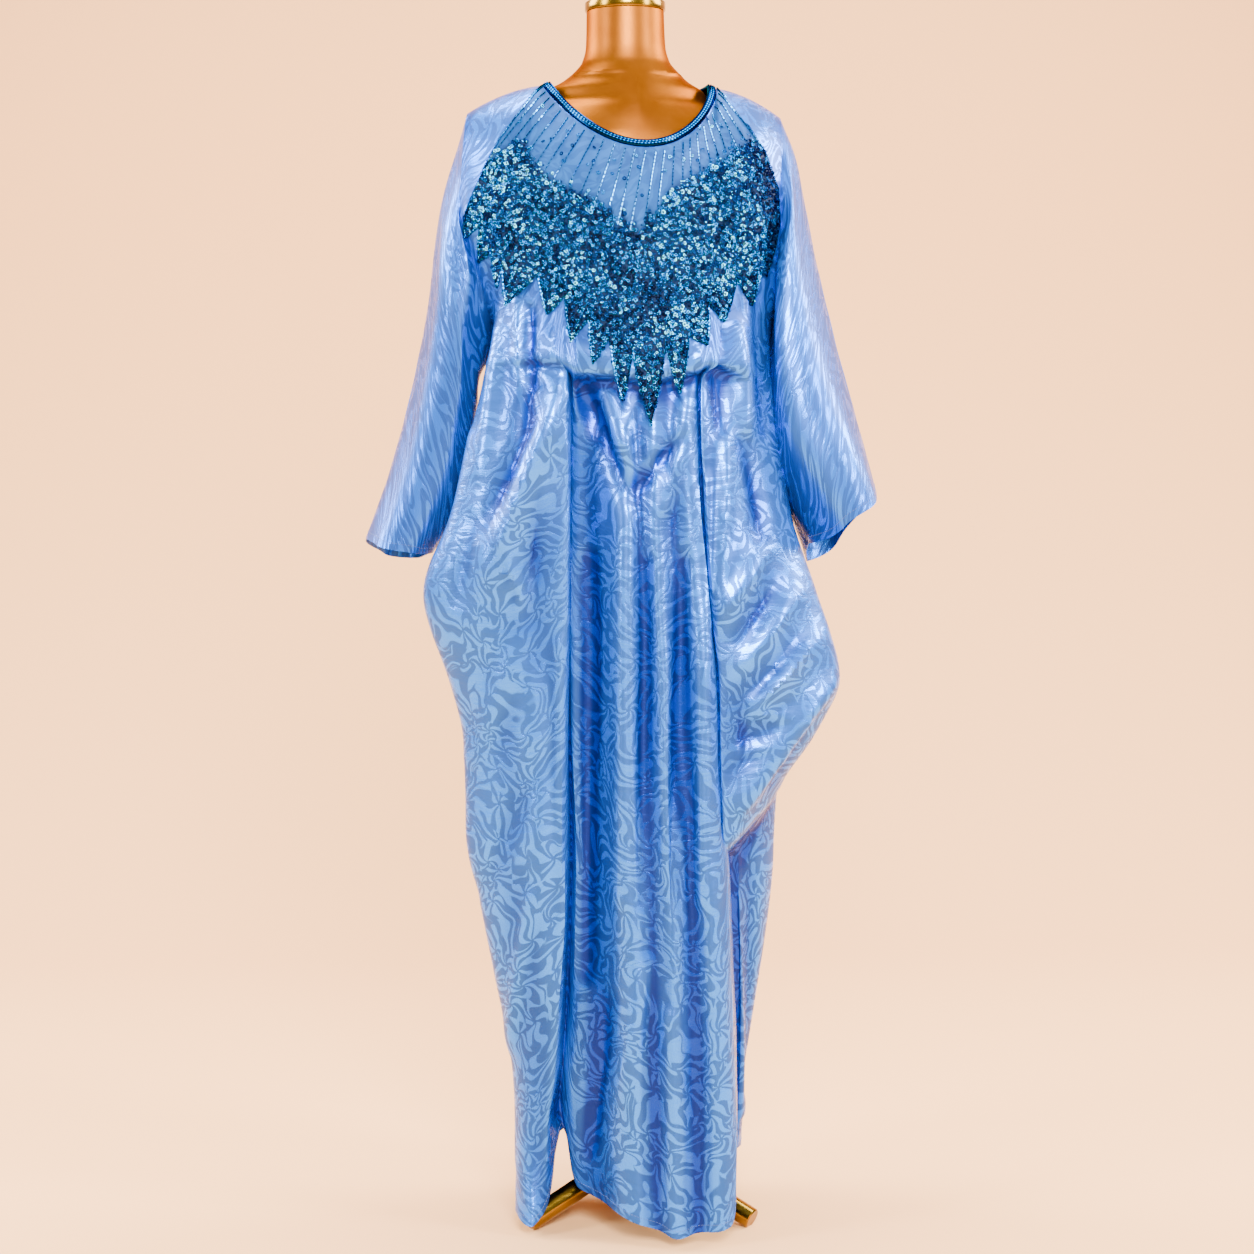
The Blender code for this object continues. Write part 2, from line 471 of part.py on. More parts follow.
def shell(name, rows, outward, material, thickness=CLOTH, ring=False):
    """One closed body: the rows of points, a second skin behind them and the edges between."""
    behind = rows - thickness * outward
    count, width = rows.shape[:2]
    points = np.concatenate((rows.reshape(-1, 3), behind.reshape(-1, 3)))
    far = count * width
    spans = width if ring else width - 1
    faces = []
    for row in range(count - 1):
        for column in range(spans):
            a, b = row * width + column, row * width + (column + 1) % width
            faces += split(points, a, b, b + width, a + width)
            faces += split(points, far + b, far + a, far + a + width, far + b + width)
    for column in range(spans):
        a, b = column, (column + 1) % width
        faces.append((a, far + a, far + b, b))
        a, b = (count - 1) * width + a, (count - 1) * width + b
        faces.append((b, far + b, far + a, a))
    if not ring:
        for row in range(count - 1):
            a, b = row * width, (row + 1) * width
            faces.append((b, far + b, far + a, a))
            a, b = a + width - 1, b + width - 1
            faces.append((a, far + a, far + b, b))
    return add_object(name, points, faces, material)


def split(points, a, b, c, d):
    """Two triangles over the shorter diagonal of a four-sided face."""
    if np.linalg.norm(points[a] - points[c]) <= np.linalg.norm(points[b] - points[d]):
        return [(a, b, c), (a, c, d)]
    return [(a, b, d), (b, c, d)]


def add_object(name, points, faces, material):
    mesh = bpy.data.meshes.new(name)
    mesh.from_pydata([tuple(point) for point in points], [], faces)
    mesh.validate()
    obj = bpy.data.objects.new(name, mesh)
    collection().objects.link(obj)
    shape = bmesh.new()
    shape.from_mesh(mesh)
    bmesh.ops.recalc_face_normals(shape, faces=shape.faces)
    shape.to_mesh(mesh)
    shape.free()
    mesh.materials.append(make_material(name + "_" + material, material))
    return obj


def collection():
    found = bpy.data.collections.get("kaftan_dress")
    if found is None:
        found = bpy.data.collections.new("kaftan_dress")
        bpy.context.scene.collection.children.link(found)
    return found


def make_material(name, kind):
    colour, metallic, roughness = MATERIALS[kind]
    material = bpy.data.materials.new(name)
    material.use_nodes = True
    shader = material.node_tree.nodes["Principled BSDF"]
    shader.inputs["Base Color"].default_value = colour
    shader.inputs["Metallic"].default_value = metallic
    shader.inputs["Roughness"].default_value = roughness
    return material


def lathe(name, rings, material):
    """A closed body from rings of points, capped at both ends."""
    rings = np.asarray(rings, float)
    count, width = rings.shape[:2]
    ends = (rings[0].mean(axis=0)[None], rings[-1].mean(axis=0)[None])
    points = np.concatenate((rings.reshape(-1, 3),) + ends)
    faces = []
    for row in range(count - 1):
        for column in range(width):
            a, b = row * width + column, row * width + (column + 1) % width
            faces += split(points, a, b, b + width, a + width)
    for column in range(width):
        after = (column + 1) % width
        faces.append((count * width, after, column))
        faces.append((count * width + 1, (count - 1) * width + column, (count - 1) * width + after))
    return add_object(name, points, faces, material)


def body_nets():
    """The front and back of the dress: rows of points and their outward normals."""
    front_count, back_count = sum(FRONT_STEPS) + 1, BACK_STEPS * (len(PLEATS) + 1) + 1
    left_shoulder, right_shoulder = sum(FRONT_STEPS[:3]), sum(FRONT_STEPS[-3:])
    neck_span = front_count - 1 - left_shoulder - right_shoulder
    front_top = ([shoulder_point(-1, i / left_shoulder) for i in range(left_shoulder)]
                 + [neck_point(180 + 180 * i / neck_span, BAND_WIDTH) for i in range(neck_span + 1)]
                 + [shoulder_point(1, i / right_shoulder) for i in range(right_shoulder - 1, -1, -1)])
    side = BACK_SHOULDER
    back_span = back_count - 1 - 2 * side
    back_top = ([shoulder_point(-1, i / side) for i in range(side)]
                + [neck_point(180 - 180 * i / back_span, BAND_WIDTH) for i in range(back_span + 1)]
                + [shoulder_point(1, i / side) for i in range(side - 1, -1, -1)])
    front = net([front_rails(*rows) for rows in zip(LEFT, CENTRE, RIGHT)], FRONT_STEPS, front_top, 1)
    back = net([back_rails(*rows) for rows in zip(LEFT, RIGHT)],
               (BACK_STEPS,) * (len(PLEATS) + 1), back_top, -1)
    front = creased(front, FRONT_STEPS)
    front_out, back_out = normals(front), -normals(back)
    for edge in (0, -1):                     # both pieces share one direction at a side seam
        shared = front_out[:, edge] + back_out[:, edge]
        shared /= np.linalg.norm(shared, axis=1)[:, None]
        below = sum(ROW_STEPS[:UNDERARM]) + 1
        front_out[:below, edge] = back_out[:below, edge] = shared[:below]
    for out, shoulders in ((front_out, (left_shoulder, right_shoulder)), (back_out, (side, side))):
        for sign, columns in ((-1, range(shoulders[0] + 1)),
                              (1, range(out.shape[1] - 1 - shoulders[1], out.shape[1]))):
            along = shoulder_point(sign, 1.0) - shoulder_point(sign, 0.0)
            level = np.cross(along, (0.0, 1.0, 0.0)) * (1 if sign < 0 else -1)
            level *= np.sign(level[2])
            for column in columns:
                out[-1, column] = level / np.linalg.norm(level)
    for out, edge, turn, span in ((front_out, left_shoulder, 180, neck_span),
                                  (back_out, side, -180, back_span)):
        for i in range(1, span):
            out[-1, edge + i] = neck_outward(180 + turn * i / span)
    part = SEAM_GAP / 2
    front[-1, :left_shoulder + 1, 1] -= part
    front[-1, front_count - 1 - right_shoulder:, 1] -= part
    back[-1, :side + 1, 1] += part
    back[-1, back_count - 1 - side:, 1] += part
    front[:, (0, -1), 1] -= part
    back[:, (0, -1), 1] += part
    return front, front_out, back, back_out


def sleeve_net(front, front_out, back, back_out, edge, cuffs, side):
    """A sleeve from its armhole ring to its cuff. side is -1 for the left, 1 for the right."""
    base = sum(ROW_STEPS[:UNDERARM])
    down = slice(None, base - 1 if base else None, -1)
    ring = np.concatenate((front[down, edge], back[base + 1:-1, edge]))
    facing = np.concatenate((front_out[down, edge], back_out[base + 1:-1, edge]))
    middle = (len(front) - 1) - base
    ring[0] = (front[-1, edge] + back[-1, edge]) / 2
    ring[middle] = (front[base, edge] + back[base, edge]) / 2
    count = len(ring)
    rings = [ring]
    for cuff in cuffs:
        yaw = -side * math.radians(cuff.yaw)
        depth = (cuff.back_y - cuff.front_y) / 2
        half = abs(cuff.out_x - cuff.in_x) / 2          # as seen from the front, once turned
        least = (SLEEVE_LEAST * half) ** 2
        narrow = math.sqrt(max(half ** 2 - (depth * math.sin(yaw)) ** 2, least)) / math.cos(yaw) / half
        centre = np.array(((cuff.out_x + cuff.in_x) / 2, (cuff.front_y + cuff.back_y) / 2,
                           (cuff.out_z + cuff.in_z) / 2))
        reach = np.array((narrow * (cuff.out_x - cuff.in_x) / 2, 0.0, (cuff.out_z - cuff.in_z) / 2))
        points = []
        for i in range(count):
            turn = 2 * math.pi * i / count
            ahead = math.sin(turn)
            to = ((cuff.front_y - centre[1], cuff.front_z - centre[2]) if ahead > 0
                  else (cuff.back_y - centre[1], cuff.back_z - centre[2]))
            fold = SLEEVE_FOLD * math.cos(SLEEVE_FOLDS * turn + 1.0) * abs(ahead)
            point = reach * math.cos(turn) + np.array((0.0, to[0] * abs(ahead), to[1] * abs(ahead)))
            point[0] += side * fold
            points.append(centre + np.array((point[0] * math.cos(yaw) - point[1] * math.sin(yaw),
                                             point[0] * math.sin(yaw) + point[1] * math.cos(yaw), point[2])))
        rings.append(np.array(points))
    rings = np.array(rings)
    rows = smooth(range(len(rings)), rings.reshape(len(rings), -1), SLEEVE_STEPS).reshape(-1, count, 3)
    outward = normals(rows, ring=True) * -side
    centres = rows.mean(axis=1)[:, None, :]
    if np.sum(outward * (rows - centres)) < 0:
        outward = -outward
    away = rows[1] - rows[0]
    away /= np.linalg.norm(away, axis=1)[:, None]
    parted = np.sum(outward[0] * facing, axis=1)[:, None] < VALLEY
    outward[0] = np.where(parted, outward[0], facing)     # elsewhere both walls share a direction
    rows[0] += SEAM_GAP * away
    return rows, outward


def hanging_point(tree, x, z, lowest):
    """Where a line from the front meets the dress, or where it would hang from a fold above."""
    hit = tree.ray_cast(Vector((x, -1.0, z)), Vector((0.0, 1.0, 0.0)))[0]
    if hit is None:
        hit = tree.find_nearest(Vector((x, lowest, z)))[0]
    return min(hit.y, lowest)


def bib_net(front, front_out):
    """The beaded net: a fan from the neck binding to its spikes, on the front's own points."""
    tree = tree_of(front)
    outline = [(x, z) for x, z in reversed(BIB_LEFT)]
    for spike in SPIKES:
        outline += [(spike.tip_x, spike.tip_z), (spike.notch_x, spike.notch_z)]
    outline = outline[:-1] + list(BIB_RIGHT)
    outline = np.array(outline)
    count = len(outline)
    start = [neck_point(mix(BIB_ARC[0], BIB_ARC[1], i / (count - 1)), BAND_WIDTH + BIB_INSET)
             for i in range(count)]
    near = np.array([(point[0], point[2]) for point in start])
    first, last = len(BIB_LEFT), count - len(BIB_RIGHT)
    core = mix(near, outline, SPIKE_START)
    for i in range(first, last, 2):                # a spike grows from between its two notches
        core[i] = (core[i - 1] + core[i + 1]) / 2
    rows = []
    lowest = [point[1] for point in start]
    places = [(near, core, step / BIB_ROWS) for step in range(BIB_ROWS + 1)]
    places += [(core, outline, step / SPIKE_ROWS) for step in range(1, SPIKE_ROWS + 1)]
    for inner, outer, t in places:
        row = []
        for i, (px, pz) in enumerate(mix(inner, outer, t)):
            y = hanging_point(tree, px, pz, lowest[i])
            lowest[i] = y
            row.append((px, y, pz))
        rows.append(row)
    rows = eased_off(tree, np.array(rows)[::-1])
    outward = normals(rows)
    if outward[:, :, 1].mean() > 0:
        outward = -outward
    return rows + outward * BIB_THICKNESS, outward


def eased_off(tree, rows):
    """The bib's rows, moved forward until no flat face between them comes within reach of the satin."""
    eased = rows.copy()
    eased[:, :, 1] -= BIB_CLEAR
    count, width = rows.shape[:2]
    steps = [step / EASE_SAMPLES for step in range(EASE_SAMPLES + 1)]
    shares = [(a, b) for a in steps for b in steps]
    for _ in range(2):
        push = np.zeros((count, width))
        for row in range(count - 1):
            for column in range(width - 1):
                low = [mix(eased[row, column], eased[row, column + 1], a) for a, _ in shares]
                high = [mix(eased[row + 1, column], eased[row + 1, column + 1], a) for a, _ in shares]
                short = 0.0
                for start, end, (_, b) in zip(low, high, shares):
                    x, y, z = mix(start, end, b)
                    hit = tree.ray_cast(Vector((x, -1.0, z)), Vector((0.0, 1.0, 0.0)))[0]
                    if hit is not None:
                        short = max(short, y + BIB_CLEAR - hit.y)
                for a in (row, row + 1):
                    for b in (column, column + 1):
                        push[a, b] = max(push[a, b], short)
        eased[:, :, 1] -= push
    return eased


def tree_of(rows):
    count, width = rows.shape[:2]
    points = rows.reshape(-1, 3)
    faces = []
    for row in range(count - 1):
        for column in range(width - 1):
            a = row * width + column
            faces += split(points, a, a + 1, a + width + 1, a + width)
    return BVHTree.FromPolygons([Vector(point) for point in points], faces)


def make_binding():
    """The beaded neck binding: a flat band all round the opening."""
    rings = []
    for angle in neck_angles():
        inner, outer = neck_point(angle), neck_point(angle, BAND_WIDTH - 3 * SEAM_GAP)
        out = neck_outward(angle)
        proud, below = BAND_PROUD * out, (BAND_PROUD - BAND_THICKNESS) * out
        rings.append((inner + proud, outer + proud, outer + below, inner + below))
    points = np.array(rings).reshape(-1, 3)
    faces = []
    for step in range(len(rings)):
        for corner in range(4):
            a, b = step * 4 + corner, step * 4 + (corner + 1) % 4
            c, d = (b + 4) % len(points), (a + 4) % len(points)
            faces.append((a, b, c, d))
    return add_object("neck_binding", points, faces, "beaded_binding")


def make_form():
    rings = []
    for row in TORSO:
        ring = []
        for side in range(TORSO_SIDES):
            angle = 2 * math.pi * side / TORSO_SIDES
            across, ahead = math.cos(angle), math.sin(angle)
            depth = row.front if ahead < 0 else row.back
            if SLOPE_Z[0] < row.z < SLOPE_Z[1]:      # the tops of the shoulders fall away behind
                across = math.copysign(abs(across) ** SHOULDER_SQUARE, across)
                ahead = math.copysign(abs(ahead) ** SHOULDER_SQUARE, ahead)
            ring.append(turned((row.half_x * across, depth * ahead, row.z)))
        rings.append(ring)
    lathe("dress_form", rings, "gold_cover")


def finish(obj, name, material):
    """Names a new object, gives it its material and puts it in the dress's collection."""
    obj.name = obj.data.name = name
    for home in list(obj.users_collection):
        home.objects.unlink(obj)
    collection().objects.link(obj)
    obj.data.materials.append(make_material(name + "_" + material, material))
    return obj


def make_cap():
    """The form's neck cap: a turned profile."""
    mesh = bpy.data.meshes.new("neck_cap")
    profile = [(0.0, NECK_CAP[-1][1])] + list(reversed(NECK_CAP)) + [(0.0, NECK_CAP[0][1])]
    mesh.from_pydata([(x, 0.0, z) for x, z in profile], [(i, i + 1) for i in range(len(profile) - 1)], [])
    cap = finish(bpy.data.objects.new("neck_cap", mesh), "neck_cap", "brass")
    screw = cap.modifiers.new("turn", "SCREW")
    screw.steps = screw.render_steps = CAP_SIDES
    screw.use_merge_vertices = True
    screw.merge_threshold = 0.00001


def make_stand():
    low, high = HUB_Z[1] + SEAM_GAP, FORM_BASE_Z - SEAM_GAP
    bpy.ops.mesh.primitive_cylinder_add(vertices=16, radius=POLE_RADIUS, depth=high - low,
                                        location=(0, 0, (low + high) / 2))
    finish(bpy.context.object, "stand_pole", "brass")
    bpy.ops.mesh.primitive_cylinder_add(vertices=20, radius=HUB_RADIUS, depth=HUB_Z[1] - HUB_Z[0],
                                        location=(0, 0, sum(HUB_Z) / 2))
    hub = finish(bpy.context.object, "stand_hub", "brass")
    bevel = hub.modifiers.new("edge", "BEVEL")
    bevel.width, bevel.segments = HUB_EDGE, 1
    bpy.ops.mesh.primitive_cube_add(size=1.0, location=(0, 0, -0.5))
    floor = make_cutter(bpy.context.object, "foot_cutter")
    bpy.ops.mesh.primitive_cylinder_add(vertices=20, radius=HUB_RADIUS + SEAM_GAP, depth=0.2,
                                        location=(0, 0, sum(HUB_Z) / 2))
    socket = make_cutter(bpy.context.object, "hub_cutter")
    for name, bearing in LEG_BEARINGS.items():
        make_leg(name, math.radians(bearing), (floor, socket))


def make_cutter(obj, name):
    obj.name = name
    obj.hide_render = True
    obj.display_type = "WIRE"
    for home in list(obj.users_collection):
        home.objects.unlink(obj)
    if "cutters" not in bpy.data.collections:
        bpy.context.scene.collection.children.link(bpy.data.collections.new("cutters"))
    bpy.data.collections["cutters"].objects.link(obj)
    return obj


def make_leg(name, bearing, cutters):
    """A round tube from the hub down to a foot that is cut flat on the floor."""
    out = Vector((math.cos(bearing), math.sin(bearing), 0.0))
    slope = math.atan2(LEG_ROOT_Z - LEG_RADIUS, FOOT_REACH - LEG_ROOT)
    foot_z = LEG_RADIUS * math.cos(slope) - FOOT_FLAT
    curve = bpy.data.curves.new(name, "CURVE")
    curve.dimensions = "3D"
    curve.bevel_depth = LEG_RADIUS
    curve.bevel_resolution = LEG_ROUNDNESS
    curve.use_fill_caps = True
    line = curve.splines.new("POLY")
    line.points.add(1)
    line.points[0].co = (*(out * LEG_ROOT), 1.0)
    line.points[0].co.z = LEG_ROOT_Z
    line.points[1].co = (*(out * FOOT_REACH), 1.0)
    line.points[1].co.z = foot_z
    tube = bpy.data.objects.new(name, curve)
    collection().objects.link(tube)
    mesh = bpy.data.meshes.new_from_object(tube.evaluated_get(bpy.context.evaluated_depsgraph_get()))
    bpy.data.objects.remove(tube, do_unlink=True)
    shape = bmesh.new()
    shape.from_mesh(mesh)
    bmesh.ops.remove_doubles(shape, verts=shape.verts, dist=0.00001)
    shape.to_mesh(mesh)
    shape.free()
    leg = bpy.data.objects.new(name, mesh)
    finish(leg, name, "brass")
    for cutter in cutters:
        cut = leg.modifiers.new(cutter.name, "BOOLEAN")
        cut.operation, cut.object = "DIFFERENCE", cutter


def centre_on_footprint():
    """Move everything so that the middle of its box stands over the origin."""
    bpy.context.view_layer.update()
    graph = bpy.context.evaluated_depsgraph_get()
    points = [obj.matrix_world @ Vector(corner) for obj in collection().objects
              for corner in obj.evaluated_get(graph).bound_box]
    low = Vector([min(point[axis] for point in points) for axis in range(3)])
    high = Vector([max(point[axis] for point in points) for axis in range(3)])
    shift = Matrix.Translation((-(low.x + high.x) / 2, -(low.y + high.y) / 2, -low.z))
    for obj in list(collection().objects) + list(bpy.data.collections["cutters"].objects):
        obj.matrix_world = shift @ obj.matrix_world


def main():
    for obj in list(bpy.data.objects):
        bpy.data.objects.remove(obj, do_unlink=True)
    front, front_out, back, back_out = body_nets()
    shell("front_panel", front, front_out, "satin")
    shell("back_panel", back, back_out, "satin")
    for name, edge, cuffs, side in (("left_sleeve", 0, SLEEVE_LEFT, -1),
                                    ("right_sleeve", -1, SLEEVE_RIGHT, 1)):
        rows, outward = sleeve_net(front, front_out, back, back_out, edge, cuffs, side)
        shell(name, rows, outward, "satin", ring=True)
    rows, outward = bib_net(front, front_out)
    shell("beaded_bib", rows, outward, "beaded_net", BIB_THICKNESS)
    make_binding()
    make_form()
    make_cap()
    make_stand()
    centre_on_footprint()


if __name__ == "__main__":
    main()
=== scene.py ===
"""A full-length satin kaftan with a beaded bib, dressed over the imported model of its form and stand.

Metres, +Z up, -Y is the front. X runs to the right of someone who faces the dress.
The tables give places from the stand's pole, as seen from the front, and in_place moves them there.
The cloth is a net of rails, which run up it, and sections, which run round it.
"""

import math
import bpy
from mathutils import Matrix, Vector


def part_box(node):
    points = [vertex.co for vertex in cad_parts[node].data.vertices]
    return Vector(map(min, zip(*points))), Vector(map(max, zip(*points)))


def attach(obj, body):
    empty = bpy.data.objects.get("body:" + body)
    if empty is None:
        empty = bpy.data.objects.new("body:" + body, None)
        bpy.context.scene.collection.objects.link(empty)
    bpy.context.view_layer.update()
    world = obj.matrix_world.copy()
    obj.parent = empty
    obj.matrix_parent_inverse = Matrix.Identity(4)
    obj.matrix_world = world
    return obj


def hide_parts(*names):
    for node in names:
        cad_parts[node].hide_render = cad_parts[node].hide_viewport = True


bl_info = {
    "name": "Beaded Satin Kaftan",
    "version": (1, 0, 0),
    "blender": (4, 5, 0),
    "location": "3D View > Sidebar > Kaftan",
    "description": "Cuts, hangs, beads and lights a satin kaftan on a gold dress form",
    "category": "Object",
}

from collections import namedtuple
from functools import lru_cache

import bmesh
import bpy
import numpy as np
from mathutils import Matrix, Vector, noise
from mathutils.bvhtree import BVHTree

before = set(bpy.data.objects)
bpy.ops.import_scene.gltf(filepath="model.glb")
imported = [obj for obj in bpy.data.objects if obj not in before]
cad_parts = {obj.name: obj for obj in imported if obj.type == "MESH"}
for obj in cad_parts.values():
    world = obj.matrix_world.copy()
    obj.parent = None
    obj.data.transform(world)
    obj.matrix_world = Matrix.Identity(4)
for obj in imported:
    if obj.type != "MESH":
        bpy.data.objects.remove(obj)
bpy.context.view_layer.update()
POLE_LOW, POLE_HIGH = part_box("stand_pole")
POLE_PLACE = np.array(((POLE_LOW.x + POLE_HIGH.x) / 2, (POLE_LOW.y + POLE_HIGH.y) / 2, 0.0))
BODY = "root"

# Driving dimensions
CLOTH = 0.0012           # thickness of the satin
SEAM_GAP = 0.0003        # between two pieces at a seam
FORM_TURN = math.radians(12)   # the form faces a little to the right of the dress's front
BAND_WIDTH = 0.011       # beaded neck binding
BAND_THICKNESS = 0.003
BAND_PROUD = 0.0008      # how far the binding stands above the satin
CHEST_MIDDLE = np.array((0.0, 0.0, 1.25))
NET_THICKNESS = 0.0006   # the blue net under the beads

# How much finer the cloth is cut here than in the solids
ROWS_FINER = 7
CROWN_FINER = 6
COLUMNS_FINER = 4
BACK_FINER = 6
SLEEVE_FINER = 9


def finer(times, steps):
    return tuple(times * count for count in steps)


# Neck opening, in the form's own frame: half width, place and drop below its side corners
NECK_HALF_WIDTH = 0.099
NECK_MIDDLE_Y = -0.020
NECK_CORNER_Z = 1.424
NECK_FRONT = {"reach": -0.083, "drop": 0.078}
NECK_BACK = {"reach": 0.084, "drop": 0.010}
NECK_SPREAD = {"side": 0.95, "front": 0.5, "back": 0.9}   # how the band widens away from the opening
BAND_SLOPE = 0.34        # how far the band falls for each metre of its width
NECK_ROUND = {"reach": 1.2, "drop": 1.5}    # powers that shape the front of the opening

# Shoulder seam, in the form's own frame
SHOULDER_TIP = (0.199, 0.004, 1.388)
SHOULDER_CROWN = 0.006   # how far the seam bows up between neck and tip

# The form's neck and stand
FORM_BASE_Z = 0.80
POLE_RADIUS = 0.0125
HUB_Z = (0.040, 0.100)
HUB_RADIUS = 0.028
HUB_EDGE = 0.003
LEG_RADIUS = 0.0135
LEG_ROOT_Z = 0.068
LEG_ROOT = 0.015         # inside the hub, which is then cut out of the leg with a small gap
FOOT_REACH = 0.162
FOOT_FLAT = 0.003        # how much of the round tube is cut away on the floor
FOOT_EDGE = 0.0015       # bevel of a foot's end
LEG_BEARINGS = {"leg_left": 210, "leg_right": 330, "leg_back": 90}

# Sections of the dress's body from hem to chest.
# seam: side seam or armhole edge; edge: outermost point seen from the front; fold: crisp edge
# of the deep pleat; pit: how far back that pleat goes; swell: how far the lobe rounds forward.
Left = namedtuple("Left", "section z seam_x seam_y edge_x edge_y fold_x fold_y pit_y swell")
LEFT = [Left(*row) for row in (
    ("hem",      0.014, -0.147,  0.005, -0.158, -0.070, -0.113, -0.094,  0.040, 0.036),
    ("ankle", 0.100, -0.146, 0.018, -0.157, -0.058, -0.114, -0.098,  0.030, 0.020),
    ("calf", 0.200, -0.149, 0.028, -0.160, -0.052, -0.104, -0.106,  0.020, 0.016),
    ("shin", 0.300, -0.163, 0.030, -0.177, -0.050, -0.0955, -0.113, 0.010, 0.018),
    ("knee", 0.400, -0.178, 0.030, -0.196, -0.050, -0.0885, -0.118, -0.005, 0.020),
    ("under", 0.500, -0.190, 0.030, -0.213, -0.048, -0.0845, -0.126, -0.025, 0.022),
    ("swag", 0.520, -0.191, 0.030, -0.213, -0.048, -0.0840, -0.127, -0.028, 0.022),
    ("thigh", 0.610, -0.194, 0.028, -0.214, -0.048, -0.0825, -0.131, -0.045, 0.024),
    ("flare", 0.690, -0.204, 0.020, -0.232, -0.048, -0.0810, -0.135, -0.060, 0.026),
    ("hip", 0.795, -0.224, 0.008, -0.263, -0.052, -0.0785, -0.142, -0.110, 0.028),
    ("waist",    0.900, -0.190,  0.000, -0.223, -0.078, -0.0755, -0.148, -0.108, 0.024),
    ("rib",      1.000, -0.176, -0.002, -0.199, -0.085, -0.0730, -0.151, -0.118, 0.020),
    ("tuck",     1.046, -0.1725, -0.006, -0.1855, -0.088, -0.0745, -0.151, -0.126, 0.015),
    ("puff",     1.060, -0.171, -0.008, -0.182, -0.088, -0.0860, -0.156, -0.1605, 0.014),
    ("underarm", 1.100, -0.165, -0.012, -0.172, -0.090, -0.0880, -0.151, -0.1555, 0.014),
    ("bust",     1.160, -0.176, -0.076, -0.166, -0.094, -0.0880, -0.143, -0.1475, 0.010),
    ("chest",    1.250, -0.204, -0.086, -0.190, -0.098, -0.0880, -0.131, -0.1340, 0.008),
)]
Centre = namedtuple("Centre", "section left_x left_y right_x right_y swell wave")
CENTRE = [Centre(*row) for row in (
    ("hem",      -0.081, -0.074, 0.114, -0.148, 0.046, 0.010),
    ("ankle",    -0.086, -0.078, 0.1155, -0.149, 0.038, 0.011),
    ("calf",     -0.084, -0.088, 0.1140, -0.148, 0.032, 0.012),
    ("shin", -0.0805, -0.088, 0.1110, -0.147, 0.033, 0.012),
    ("knee", -0.0765, -0.092, 0.1080, -0.146, 0.031, 0.012),
    ("under", -0.0740, -0.096, 0.1045, -0.144, 0.029, 0.012),
    ("swag", -0.0745, -0.097, 0.1040, -0.144, 0.028, 0.012),
    ("thigh", -0.0765, -0.099, 0.1010, -0.143, 0.027, 0.011),
    ("flare", -0.0765, -0.103, 0.0995, -0.142, 0.025, 0.010),
    ("hip", -0.0745, -0.108, 0.0900, -0.141, 0.024, 0.009),
    ("waist", -0.0725, -0.114, 0.0845, -0.141, 0.023, 0.007),
    ("rib", -0.0700, -0.122, 0.0815, -0.142, 0.020, 0.004),
    ("tuck",     -0.0690, -0.142, 0.0810, -0.136, 0.010, 0.002),
    ("puff",     -0.0650, -0.163, 0.0860, -0.157, 0.014, 0.000),
    ("underarm", -0.0655, -0.158, 0.0865, -0.152, 0.014, 0.000),
    ("bust",     -0.0650, -0.150, 0.0870, -0.142, 0.012, 0.000),
    ("chest",    -0.0640, -0.137, 0.0880, -0.128, 0.010, 0.000),
)]
Right = namedtuple("Right", "section pit_y fold_x fold_y edge_x edge_y seam_x seam_y swell back_y")
RIGHT = [Right(*row) for row in (
    ("hem",      0.035, 0.122, -0.012, 0.131, 0.010, 0.126, 0.045, 0.006, 0.128),
    ("ankle",    0.030, 0.123, -0.018, 0.1340, 0.008, 0.130, 0.045, 0.008, 0.130),
    ("calf",     0.025, 0.1240, -0.026, 0.1440, 0.006, 0.139, 0.045, 0.010, 0.133),
    ("shin",     0.018, 0.1230, -0.038, 0.1560, 0.004, 0.150, 0.045, 0.012, 0.136),
    ("knee",     0.008, 0.1210, -0.050, 0.1730, 0.000, 0.165, 0.045, 0.014, 0.138),
    ("under",   -0.010, 0.1170, -0.062, 0.1815, -0.004, 0.172, 0.043, 0.014, 0.139),
    ("swag",    -0.050, 0.1080, -0.136, 0.1840, -0.052, 0.176, 0.030, 0.014, 0.139),
    ("thigh",   -0.066, 0.1045, -0.139, 0.2260, -0.052, 0.207, 0.026, 0.020, 0.139),
    ("flare",   -0.074, 0.1035, -0.141, 0.2590, -0.048, 0.236, 0.024, 0.026, 0.138),
    ("hip",     -0.090, 0.0935, -0.143, 0.2290, -0.052, 0.209, 0.026, 0.024, 0.136),
    ("waist",   -0.105, 0.0870, -0.145, 0.1960, -0.050, 0.200, 0.028, 0.020, 0.132),
    ("rib",     -0.113, 0.0840, -0.146, 0.1790, -0.058, 0.188, 0.028, 0.016, 0.127),
    ("tuck",    -0.119, 0.0850, -0.142, 0.1735, -0.061, 0.184, 0.028, 0.013, 0.124),
    ("puff",    -0.1515, 0.1060, -0.147, 0.1700, -0.062, 0.182, 0.026, 0.012, 0.122),
    ("underarm", -0.1460, 0.1070, -0.141, 0.1680, -0.064, 0.180, 0.024, 0.012, 0.120),
    ("bust",    -0.1355, 0.1080, -0.129, 0.1660, -0.066, 0.1795, -0.044, 0.010, 0.116),
    ("chest",   -0.1200, 0.1100, -0.112, 0.1740, -0.068, 0.1885, -0.046, 0.008, 0.112),
)]
UNDERARM = [row.section for row in LEFT].index("underarm")

